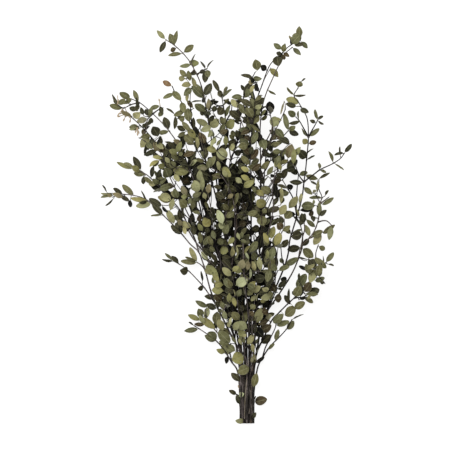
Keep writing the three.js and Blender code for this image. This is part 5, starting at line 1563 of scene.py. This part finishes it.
class NodeTree:
    """A material's node tree, and the one way in which nodes are added to it."""

    def __init__(self, name: str) -> None:
        """Starts a material with a plain shader.

        Args:
            name: the material's name.
        """
        self.material = bpy.data.materials.new(name)
        self.material.use_nodes = True
        self.tree = self.material.node_tree
        self.shader = self.tree.nodes["Principled BSDF"]

    def add(self, kind: str, settings: dict, inputs: dict, output: int | str = 0) -> Shade:
        """Adds a node.

        Args:
            kind: the node's type.
            settings: what is set on the node before its sockets are.
            inputs: values or links by socket.
            output: the socket that is handed back.

        Returns:
            The output socket.
        """
        node = self.tree.nodes.new(kind)
        for name, value in settings.items():
            setattr(node, name, value)
        for name, value in inputs.items():
            self.feed(node, name, value)
        return Shade(self, node.outputs[output])

    def feed(self, node: bpy.types.Node, name: int | str, value: Value) -> None:
        """Links or sets one socket.

        Args:
            node: the node that has it.
            name: its name or number.
            value: what it is linked or set to.
        """
        if isinstance(value, Shade):
            self.tree.links.new(value.socket, node.inputs[name])
        else:
            node.inputs[name].default_value = value

    def set(self, **inputs: Value) -> None:
        """Feeds the shader's sockets, named with underscores."""
        for name, value in inputs.items():
            self.feed(self.shader, name.replace("_", " "), value)

    def place(self) -> Shade:
        """The place on the object."""
        return self.add("ShaderNodeTexCoord", {}, {}, "Object")

    def attribute(self, name: str, output: str) -> Shade:
        """Reads an attribute of the mesh."""
        return self.add("ShaderNodeAttribute", {"attribute_name": name}, {}, output)

    def blend(self, first: Value, second: Value, share: Value) -> Shade:
        """Mixes two colours."""
        return self.add("ShaderNodeMix", {"data_type": "RGBA"}, {"Factor": share, 6: first, 7: second}, 2)

    def noise(self, vector: Shade, scale: float, detail: float = 2.0, rough: float = 0.5) -> Shade:
        """Smooth noise from 0 to 1 at points."""
        return self.add("ShaderNodeTexNoise", {}, {
            "Vector": vector, "Scale": scale, "Detail": detail, "Roughness": rough}, 0)

    def scaled(self, vector: Shade, by: Sequence[float]) -> Shade:
        """A vector times another."""
        return self.add("ShaderNodeVectorMath", {"operation": "MULTIPLY"}, {0: vector, 1: by})

    def bump(self, height: Shade, strength: float, distance: float) -> None:
        """Raises the surface by a height, in metres at full strength."""
        self.set(Normal=self.add("ShaderNodeBump", {}, {
            "Height": height, "Strength": strength, "Distance": distance}))


@dataclass(frozen=True)
class LeafFinish:
    """Dried leaf: matt, waxy and a little mottled, with a pale midrib and rim and a paler underside."""

    rib: tuple = (0.24, 0.24, 0.125, 1)
    rim: tuple = (0.23, 0.225, 0.12, 1)
    under: tuple = (0.23, 0.232, 0.14, 1)
    dry: tuple = (0.07, 0.045, 0.022, 1)
    bloom: tuple = (0.17, 0.175, 0.12, 1)
    veins: float = 9
    slant: float = 1.5  # of the side veins towards the tip
    patch_scale: float = 230
    speck_scale: float = 1400
    paleness: float = 0.22  # of the underside
    under_share: float = 0.42
    bloom_share: float = 0.4
    shade_share: float = 0.55
    rib_share: float = 0.55
    vein_share: float = 0.15
    rim_share: float = 0.6
    relief: float = 0.00025  # in metres

    def material(self) -> bpy.types.Material:
        """Builds the material.

        Returns:
            The material.
        """
        nodes = NodeTree("dried_leaf")
        place = nodes.place()
        blade = nodes.add("ShaderNodeSeparateXYZ", {}, {0: nodes.attribute("blade", "Vector")}, 0)
        u = blade
        v = Shade(nodes, blade.socket.node.outputs[1]).absolute()
        below = 0.5 - Shade(nodes, blade.socket.node.outputs[2]) * 0.5
        patches = nodes.noise(place, self.patch_scale, 3, 0.6)
        specks = nodes.noise(place, self.speck_scale, 2, 0.6)
        rib = 1 - v.step(0.02, 0.12)
        along = (u * self.veins - v * self.slant).fraction() - 0.5
        vein = along.absolute().step(0.41, 0.5) * v.step(0.04, 0.2)
        rim = v.step(0.86, 0.97)
        colour = nodes.attribute("tone", "Color")
        light = nodes.attribute("tone", "Fac").step(0, 0.07)
        marked = light * 0.75 + 0.25
        colour = nodes.blend(colour, nodes.blend(colour, WHITE, self.paleness), below * marked)
        colour = nodes.blend(colour, self.under, below * self.under_share * marked)
        colour = nodes.blend(colour, self.bloom, patches.step(0.45, 0.75) * self.bloom_share * light)
        dark = nodes.blend(colour, SHADE_BLACK, self.shade_share)
        shade = (1 - patches).step(0.4, 0.7) * 0.6 + (1 - u).step(0.4, 1.0) * 0.4
        colour = nodes.blend(colour, dark, shade)
        lines = (rib * self.rib_share + vein * self.vein_share) * (1 - below * 0.4)
        colour = nodes.blend(colour, self.rib, lines * marked)
        colour = nodes.blend(colour, self.rim, rim * self.rim_share * marked)
        colour = nodes.blend(colour, self.dry, (specks.step(0.66, 0.8) + u.step(0.9, 1.0) * 0.6) * patches)
        height = specks * 0.35 + vein * 0.6 - rib * 0.8 + patches * 0.4
        nodes.set(Base_Color=colour, Roughness=0.62 + patches * 0.2, Specular_IOR_Level=0.14)
        nodes.bump(height, 0.5, self.relief)
        return nodes.material


@dataclass(frozen=True)
class BarkFinish:
    """Dried stem: dark bark with long cracks, a grey-mauve bloom on its raised parts and pale cut ends, under
    painted shade on its underside and deep in the bunch.
    """

    bloom: tuple = (0.37, 0.315, 0.3, 1)
    crack: tuple = (0.006, 0.005, 0.004, 1)
    streak_scale: tuple = (130, 1.7, 1.7)
    fine_scale: tuple = (420, 7, 7)
    patch_scale: float = 60
    crack_share: float = 0.7
    relief: float = 0.0004  # in metres

    def material(self) -> bpy.types.Material:
        """Builds the material.

        Returns:
            The material.
        """
        nodes = NodeTree("dried_bark")
        bark = nodes.attribute("bark", "Vector")
        place = nodes.place()
        streaks = nodes.noise(nodes.scaled(bark, self.streak_scale), 1, 4, 0.6)
        fine = nodes.noise(nodes.scaled(bark, self.fine_scale), 1, 3, 0.6)
        patches = nodes.noise(place, self.patch_scale, 3, 0.6)
        colour = nodes.attribute("tone", "Color")
        dusty = nodes.attribute("tone", "Fac") * 9 + 0.14
        colour = nodes.blend(colour, self.bloom, streaks.step(0.42, 0.66) * patches.step(0.3, 0.62) * dusty)
        colour = nodes.blend(colour, self.crack, (1 - fine).step(0.5, 0.68) * self.crack_share)
        # painted shade: the tone's alpha darkens the bark towards black on its underside and deep in the
        # bunch
        colour = nodes.blend(SHADE_BLACK, colour, nodes.attribute("tone", "Alpha"))
        nodes.set(Base_Color=colour, Roughness=0.55 + fine * 0.3, Specular_IOR_Level=0.16)
        nodes.bump(fine * 0.6 + streaks, 0.6, self.relief)
        return nodes.material


@dataclass(frozen=True)
class BudFinish:
    """Dried flower stalks and buds: pinkish tan, dusty."""

    dust: tuple = (0.3, 0.235, 0.18, 1)
    speck_scale: float = 900
    relief: float = 0.0003  # in metres

    def material(self) -> bpy.types.Material:
        """Builds the material.

        Returns:
            The material.
        """
        nodes = NodeTree("dried_bud")
        place = nodes.place()
        specks = nodes.noise(place, self.speck_scale, 3, 0.6)
        colour = nodes.blend(nodes.attribute("tone", "Color"), self.dust, specks.step(0.45, 0.7) * 0.5)
        nodes.set(Base_Color=colour, Roughness=0.7 + specks * 0.2, Specular_IOR_Level=0.3)
        nodes.bump(specks, 0.5, self.relief)
        return nodes.material


def put(name: str, data: bpy.types.ID) -> bpy.types.Object:
    """Puts a new object into the scene.

    Args:
        name: its name.
        data: its mesh, lamp or camera.

    Returns:
        The object.
    """
    obj = bpy.data.objects.new(name, data)
    bpy.context.scene.collection.objects.link(obj)
    return obj


class MeshParts:
    """Vertices and faces that are gathered into one mesh, with the colours and places that finishes read."""

    def __init__(self) -> None:
        """Starts empty."""
        self.points: list[Array] = []
        self.tones: list[Array] = []
        self.places: list[Array] = []
        self.faces: list[tuple[int, ...]] = []
        self.count = 0

    def add(self, points: Array, faces: Iterable[Sequence[int]], tones: Array,
            places: Array) -> None:
        """Takes in one closed shape.

        Args:
            points: its vertices, in millimetres.
            faces: its faces, which count its own vertices.
            tones: a linear colour and the share of its colour that painted shade leaves, for all or for each
                vertex.
            places: each vertex's place on the leaf or the bark.
        """
        self.points.append(points)
        self.tones.append(np.broadcast_to(tones, (len(points), 4)))
        self.places.append(places)
        self.faces.extend(tuple(k + self.count for k in face) for face in faces)
        self.count += len(points)

    def piece(self, name: str, places: str, material: bpy.types.Material) -> bpy.types.Object:
        """Makes the mesh.

        Args:
            name: the piece's name.
            places: the name of the attribute that the places go into.
            material: its finish.

        Returns:
            The piece, in the scene.
        """
        mesh = bpy.data.meshes.new(name)
        mesh.from_pydata(np.vstack(self.points) * METRES, [], self.faces)
        mesh.polygons.foreach_set("use_smooth", np.ones(len(mesh.polygons), bool))
        tones = np.vstack(self.tones)
        mesh.attributes.new("tone", "FLOAT_COLOR", "POINT").data.foreach_set("color", tones.ravel())
        spots = np.vstack(self.places)
        mesh.attributes.new(places, "FLOAT_VECTOR", "POINT").data.foreach_set("vector", spots.ravel())
        mesh.materials.append(material)
        mesh.validate()
        return put(name, mesh)


@dataclass(frozen=True)
class Blade:
    """The form of a leaf: a short stalk, then a thin blade with a raised midrib below and a pointed tip."""

    stalk: float = 2.6
    stalk_share: float = 0.2  # of the leaf's length at most
    stalk_radius: float = 0.42
    thickness: float = 0.34
    rib: float = 0.22
    groove: float = 0.45  # over the rib, as a share of it
    spread: float = 1.13  # of its width, for the pointed ends
    points: tuple = (0.56, 0.95)  # powers: from blunt ends to pointed ones
    peaks: tuple = (0.84, 1.02)  # powers: the widest place, from near the root to the middle
    fold_power: float = 1.25
    wave: float = 0.1
    wave_shares: tuple = (0.2, 1)
    wave_counts: tuple = (1.2, 2.4)
    left_wave: float = -0.7  # as a share of the right rim's
    sweep: float = 0.06
    twist: float = 0.3
    rows: tuple = (0, 0.6, 1.0, 0.05, 0.15, 0.3, 0.48, 0.66, 0.82, 0.92, 0.98)
    columns: tuple = (-1, -0.92, -0.42, 0, 0.42, 0.92, 1)

    def faces(self) -> list[tuple[int, ...]]:
        """Lays out the faces, which are the same for every leaf.

        Returns:
            The faces of both sides, of the tip and of the root's end.
        """
        rows, columns = len(self.rows), len(self.columns)
        per_row = 2 * columns - 2

        def ring(row: int) -> list[int]:
            """The vertices of one row, once round."""
            return [row * per_row + k for k in range(per_row)]

        faces = []
        for row in range(rows - 1):
            a, b = ring(row), ring(row + 1)
            faces += [(a[k - 1], a[k], b[k], b[k - 1]) for k in range(per_row)]
        first, last, tip = ring(0), ring(rows - 1), rows * per_row
        faces += [(last[k - 1], last[k], tip) for k in range(per_row)]
        faces += [(first[k + 1], first[k], first[-k] if k else first[0], first[-k - 1])
                  for k in range(1, columns - 2)]
        faces += [(first[1], first[0], first[-1]), (first[columns - 1], first[columns - 2], first[columns])]
        return faces

    def shape(self, leaf: Leaf) -> tuple[Array, Array]:
        """The vertices of a leaf.

        Args:
            leaf: how it grows.

        Returns:
            The vertices, and the place of each on the blade: along, across, and which side.
        """
        draw = Draws(*leaf.seed, SHAPE_DRAWS)
        root = leaf.root.copy() if leaf.lies else leaf.axis.fine_at(leaf.place)
        end = leaf.root + leaf.along * leaf.length
        along = leaf.along
        if leaf.shown:
            along = unit(end - (root if leaf.neck is None else leaf.neck))
        else:
            end = root + along * leaf.length
        stalk = min(self.stalk, self.stalk_share * leaf.length)
        neck = root + along * stalk if leaf.neck is None else leaf.neck
        length = math.sqrt(float((end - neck) @ (end - neck)))
        normal = unit(leaf.normal - along * (leaf.normal @ along))
        ways = np.array([unit(neck - root)] * 2 + [along] * (len(self.rows) - 2))
        side = np.cross(normal, ways)
        side /= np.linalg.norm(side, axis=1)[:, None]
        normal = np.cross(ways, side)
        s = np.array([0, 0, 0, *self.rows[3:]])
        point, peak = draw.between(*self.points), draw.between(*self.peaks)
        across = 4 * s**peak * (1 - s**peak)
        half = np.where(s > 0, across**point * leaf.width / 2 * self.spread, 0)
        half = np.where(s > 0.5, half, np.maximum(half, self.stalk_radius * 0.9))
        v = np.array([*self.columns, *self.columns[-2:0:-1]])
        lower = np.arange(len(v)) >= len(self.columns)
        inner = np.abs(v) < 1
        thick = np.where(s > 0, self.thickness, 2 * self.stalk_radius)
        lift = np.outer(thick, np.where(inner, np.where(lower, -0.5, 0.5), 0))
        rib_rise = np.where(v == 0, np.where(lower, -1, -self.groove), 0)
        rib = np.outer(np.where(s > 0, self.rib * (1 - s), 0), rib_rise)
        ripple = self.wave * draw.between(*self.wave_shares) * (0 if leaf.lies else 1)
        waves = np.sin(2 * np.pi * (s * draw.between(*self.wave_counts) + draw.next()))
        wave = np.outer(waves * ripple * half, np.abs(v) ** 2 * np.where(v > 0, 1, self.left_wave))
        fold = leaf.fold * np.outer(half, np.abs(v) ** self.fold_power)
        sweep = draw.between(-self.sweep, self.sweep) * length * s**2
        turn = draw.between(-1, 1) * self.twist * s * (0 if leaf.lies else 1)
        over = side * np.cos(turn)[:, None] + normal * np.sin(turn)[:, None]
        out = normal * np.cos(turn)[:, None] - side * np.sin(turn)[:, None]
        centre = np.array([mix(root, neck, share) for share in self.rows[:3]] + [neck] * (len(s) - 3))
        centre += np.outer(s * length, along) + side * sweep[:, None]
        centre -= normal * (leaf.bend * length * s**2)[:, None]
        points = (centre[:, None] + over[:, None] * np.outer(half, v)[..., None]
                  + out[:, None] * (lift + rib + wave + fold)[..., None]).reshape(-1, 3)
        tip = end + side[-1] * (sweep[-1] * 1.05) - normal[-1] * (leaf.bend * length)
        count = len(s)
        face = np.where(inner, np.where(lower, -1, 1), 0)
        places = np.stack([np.repeat(s, len(v)), np.tile(v, count), np.tile(face, count)], axis=1)
        return np.vstack([points, tip]), np.vstack([places, [1, 0, 0]])


@dataclass(frozen=True)
class Wood:
    """The form of stems and twigs: tapering, a little crooked, and swollen where leaves grow."""

    sides: int = 8
    swelling: float = 0.28
    swelling_length: float = 1.7
    collar: float = 0.4
    collar_length: float = 3
    ridges: float = 0.06
    ridge_count: int = 3
    ridge_turn: float = 9
    tip: float = 1.8
    cut_radius: float = 0.82  # of the end's, inside its bevel
    cut_depth: float = 0.35
    cut_middle: float = 0.3
    slim: float = 0.86  # of a stem's solid, which is a prism round it
    stout: float = 1.2  # of a twig's
    below: float = 0.03  # painted shade: the share of its light that is left on its underside
    apart: float = 0.7  # metres along the bark's pattern, from one stem to the next

    def add(self, parts: MeshParts, axis: Axis, depth: Array) -> None:
        """Adds the wood of one axis.

        Args:
            parts: the mesh it goes into.
            axis: the stem or twig.
            depth: the share of its colour that it keeps at each point of its fine line, under the painted
                shade of the leaves over it.
        """
        points = axis.fine
        tangents, sides = frames(points)
        count, last = self.sides, len(points) - 1
        shares = np.linspace(0, 1, last + 1)
        length = float(np.sum(np.linalg.norm(np.diff(points, axis=0), axis=1)))
        plain_radii = mix(*axis.radii, shares) * (mix(self.slim, 1, shares) if axis.is_stem else self.stout)
        radii = plain_radii
        for place in axis.leaf_places:
            away = (shares - place / axis.last) * length / self.swelling_length
            radii = np.maximum(radii, plain_radii * (1 + self.swelling * np.exp(-away**2)))
        if not axis.is_stem:
            radii = radii * (1 + self.collar * np.exp(-((shares * length / self.collar_length) ** 2)))
        angles = np.arange(count) / count * 2 * np.pi
        across = np.cross(tangents, sides)
        out = sides[:, None] * np.cos(angles)[None, :, None] + across[:, None] * np.sin(angles)[None, :, None]
        turned = self.ridge_count * angles[None, :] + shares[:, None] * length / self.ridge_turn
        ridge = 1 + self.ridges * np.sin(turned)
        ring = points[:, None] + out * (radii[:, None] * ridge)[..., None]
        end = points[-1] + tangents[-1] * self.tip
        cut = points[0] + out[0] * radii[0] * self.cut_radius - tangents[0] * self.cut_depth
        vertices = np.vstack([ring.reshape(-1, 3), end, cut, cut, points[0] - tangents[0] * self.cut_middle])
        total = (last + 1) * count
        tip, bevel, face, middle = total, total + 1, total + 1 + count, total + 1 + 2 * count
        faces = []
        for k in range(count):
            j = (k + 1) % count
            faces += tube_side(count, last, k, tip)
            faces += [(j, k, bevel + k, bevel + j), (face + j, face + k, middle)]
        tones = np.tile([*axis.bark.linear(), 1], (len(vertices), 1))
        # painted light and shade: the upper side keeps its colour and the underside is darkened, as if lit
        # from above
        painted_top_light = np.clip(out[..., 2] * 1.5 - 0.5, 0, 1) ** 1.5
        tones[:total, 3] = (depth[:, None] * mix(self.below, 1, painted_top_light)).ravel()
        if axis.is_stem:
            tones[face:, :3] = Tone.CUT_WOOD.linear()
        along = np.concatenate([np.repeat(shares * length, count), [length], np.zeros(2 * count + 1)])
        along = along * METRES + axis.stem * self.apart
        round_about = np.concatenate([np.tile(angles, last + 1), [0], angles, angles, [0]])
        places = np.stack([along, np.cos(round_about), np.sin(round_about)], axis=1)
        parts.add(vertices, faces, tones, places)


@dataclass
class LeafyStem:
    """One leafy stem: its wood with every twig, and its foliage."""

    plan: StemPlan
    index: int
    thicket: Thicket
    wood: Wood = Wood()
    blade: Blade = Blade()
    deepest_shade: float = 0.03  # painted shade: the share of its colour that is left under many leaves
    cover: float = 1.8  # leaves above that take most of it
    drawn_light: tuple = (0.85, 1.2)
    rule_light: tuple = (0.7, 1.45)
    warmth: float = 0.07

    def build(self, leaf_finish: bpy.types.Material, bark_finish: bpy.types.Material) -> None:
        """Builds and dresses both pieces, which stand for this stem's solid.

        Args:
            leaf_finish: the foliage's material.
            bark_finish: the wood's material.
        """
        name = self.plan.name.removeprefix("leafy_stem_")
        wood = self.build_wood().piece(f"wood_{name}", "bark", bark_finish)
        foliage = self.build_foliage().piece(f"foliage_{name}", "blade", leaf_finish)
        for piece, slot in ((wood, "stem"), (foliage, "leaf")):
            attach(piece, "root")
            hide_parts(self.plan.name)
            LOG.info("%s: %d faces", piece.name, len(piece.data.polygons))

    def build_wood(self) -> MeshParts:
        """Builds the stem and its twigs.

        Returns:
            Their wood.
        """
        parts = MeshParts()
        for axis in self.thicket.axes:
            if axis.stem == self.index:
                # wood deep in the bunch gets painted shade, which lit axes are spared
                self.wood.add(parts, axis, np.ones(len(axis.fine)) if axis.lit else self.depth(axis.fine))
        return parts

    def build_foliage(self) -> MeshParts:
        """Builds the leaves on them.

        Returns:
            All the blades.
        """
        parts = MeshParts()
        faces = self.blade.faces()
        for leaf in self.thicket.leaves:
            if leaf.axis.stem == self.index:
                points, places = self.blade.shape(leaf)
                parts.add(points, faces, self.colour(leaf), places)
        return parts

    def colour(self, leaf: Leaf) -> Array:
        """Mixes a leaf's colour: its tone, a little varied, and darkened by painted shade deep in the bunch.

        Args:
            leaf: the leaf.

        Returns:
            The linear colour, with all of the light.
        """
        draw = Draws(*leaf.seed, COLOUR_DRAWS)
        light = draw.between(*(self.drawn_light if leaf.shown else self.rule_light))
        warm = draw.between(-self.warmth, self.warmth)
        # painted shade, darker the more leaves lie over it; drawn leaves are spared it
        deep = 1 if leaf.shown else self.depth(leaf.middle[None])[0]
        return np.array([*leaf.tone.linear() * light * deep * [1 + warm, 1, 1 - warm], 1])

    def depth(self, points: Array) -> Array:
        """The share of its colour that each point keeps under painted shade, by how many leaves lie over it.
        """
        return mix(1, self.deepest_shade, 1 - np.exp(-self.thicket.leaves_over(points) / self.cover))


# Flower stalks and buds: grid places of the root and the tip, the height of the tip over the wood, and
# whether it ends in a bud
FLOWER_STALKS = (
    (122, 112, 117, 117, 4, True), (127, 115, 121, 112, 9, False), (127, 115, 122, 115, 9, False),
    (128, 117, 124, 116.5, 9, False), (131, 116, 129.5, 123, 4, True), (126, 113, 117, 117, 4, True),
    (126, 113, 122.7, 121.5, 3, True), (126, 113, 117.6, 113.4, 6, True), (126, 113, 121, 109, 8, True),
    (126, 113, 130, 118, 5, True), (126, 113, 124, 106, 6, False),
    (159.5, 106, 159, 98.5, 5, True), (137, 131, 135, 133, 3, True), (137, 131, 137.5, 136, 3, True),
    (137, 131, 139, 134, 3, True), (121, 99, 118, 95, 4, False), (121, 99, 119, 99, 4, False),
    (239, 391, 238, 385.5, 3, True),
)


@dataclass(frozen=True)
class FlowerBuds:
    """The few dried flower stalks with their buds."""

    radius: float = 0.8
    bud_radius: float = 1.35
    bud_length: float = 6
    bud_shares: tuple = (0.2, 0.45, 0.7, 0.9)  # of the bud, where its rings lie
    sides: int = 8

    def build(self, thicket: Thicket, finish: bpy.types.Material) -> None:
        """Builds and dresses them all as one piece.

        Args:
            thicket: the wood that they grow from.
            finish: their material.
        """
        parts = MeshParts()
        for root_x, root_y, tip_x, tip_y, rise, bud in FLOWER_STALKS:
            wood = thicket.wood_near(on_grid((root_x, root_y), 0))
            if wood is None:
                continue
            start = wood[0].fine_at(wood[1])
            tip = on_grid((tip_x, tip_y), max(start[2] + rise, 2))
            self.add_stalk(parts, start, tip, bud)
        piece = parts.piece("flower_buds", "bark", finish)
        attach(piece, "root")
        LOG.info("flower_buds: %d faces", len(piece.data.polygons))

    def add_stalk(self, parts: MeshParts, start: Array, tip: Array, bud: bool) -> None:
        """Adds a stalk, with a pointed bud where it has one.

        Args:
            parts: the mesh it goes into.
            start: its root, in the wood.
            tip: its end.
            bud: whether it ends in a bud.
        """
        length = float(np.linalg.norm(tip - start))
        swell = self.bud_radius if bud else self.radius
        bud_start = max(0.45, 1 - self.bud_length / length)
        shares = np.array([0, 0.4 * bud_start, bud_start, *(mix(bud_start, 1, t) for t in self.bud_shares)])
        radii = np.array([self.radius, 0.8 * self.radius, 0.75 * self.radius, 0.8 * swell, swell, 0.7 * swell,
                          0.25 * swell])
        way = unit(tip - start)
        side = unit(np.cross(way, UP if abs(way[2]) < 0.9 else np.array([1.0, 0, 0])))
        over = np.cross(way, side)
        angles = np.arange(self.sides) / self.sides * 2 * np.pi
        out = side * np.cos(angles)[:, None] + over * np.sin(angles)[:, None]
        ring = (start + np.outer(shares * length, way))[:, None] + out * radii[:, None, None]
        vertices = np.vstack([ring.reshape(-1, 3), tip, start])
        count, last, end = self.sides, len(shares) - 1, len(vertices) - 2
        faces = []
        for k in range(count):
            faces += [*tube_side(count, last, k, end), ((k + 1) % count, k, end + 1)]
        parts.add(vertices, faces, np.array([*Tone.BUD.linear(), 1]), vertices * METRES)


@dataclass(frozen=True)
class Studio:
    """The plain pale floor, the soft lights and the camera, which looks straight down on the bunch."""

    distance: float = 15
    level: float = 0.065  # the height at which a grid step shows as one image point
    image: int = 452
    sensor: float = 36
    floor: tuple = (0.2, 0.2, 0.2, 1)
    floor_dull: tuple = (0.19, 0.19, 0.19, 1)
    floor_reach: float = 30
    glow: float = 0.86
    sky: float = 0.7
    sky_tint: tuple = (1, 0.985, 0.94, 1)
    key: float = 44
    lamp: tuple = (-0.55, 0.65, 2.2)
    lamp_size: float = 1.3

    def build(self) -> None:
        """Sets up all three."""
        self.place_camera()
        self.light()
        self.lay_floor()

    def place_camera(self) -> None:
        """Puts the camera over the middle of the image."""
        data = bpy.data.cameras.new("camera")
        data.type = "PERSP"
        data.sensor_width = self.sensor
        data.lens = self.sensor * (self.distance - self.level) / (self.image * STEP * METRES)
        data.clip_end = 100
        camera = put("camera", data)
        x, y, _ = on_grid((self.image / 2, self.image / 2), 0) * METRES
        camera.location = (x, y, self.distance)
        bpy.context.scene.camera = camera

    def light(self) -> None:
        """A bright room and one large soft lamp from the upper left."""
        scene = bpy.context.scene
        scene.view_settings.view_transform = "Standard"
        world = bpy.data.worlds.new("room")
        world.use_nodes = True
        background = world.node_tree.nodes["Background"]
        background.inputs["Color"].default_value = self.sky_tint
        background.inputs["Strength"].default_value = self.sky
        scene.world = world
        data = bpy.data.lights.new("softbox", "AREA")
        data.shape, data.size, data.energy = "DISK", self.lamp_size, self.key
        lamp = put("softbox", data)
        lamp.location = self.lamp
        lamp.rotation_euler = Vector(self.lamp).to_track_quat("Z", "Y").to_euler()
        lamp.visible_camera = False

    def lay_floor(self) -> None:
        """A large pale surface."""
        mesh = bpy.data.meshes.new("floor")
        far = self.floor_reach
        mesh.from_pydata([(-far, -far, 0), (far, -far, 0), (far, far, 0), (-far, far, 0)], [], [(0, 1, 2, 3)])
        nodes = NodeTree("pale_floor")
        place = nodes.place()
        shade = nodes.blend(self.floor, self.floor_dull, nodes.noise(place, 9).step(0.3, 0.7))
        nodes.set(Base_Color=shade, Roughness=0.9, Specular_IOR_Level=0.1,
                  Emission_Color=WHITE, Emission_Strength=self.glow)
        mesh.materials.append(nodes.material)
        put("floor", mesh)


def main() -> None:
    """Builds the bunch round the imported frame, and reports each piece."""
    logging.basicConfig(level=logging.INFO, format="%(message)s")
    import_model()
    Studio().build()
    thicket = Growth().grow()
    leaf_finish, bark_finish = LeafFinish().material(), BarkFinish().material()
    for index, plan in enumerate(STEMS):
        LeafyStem(plan, index, thicket).build(leaf_finish, bark_finish)
    FlowerBuds().build(thicket, BudFinish().material())


if __name__ == "__main__":
    main()
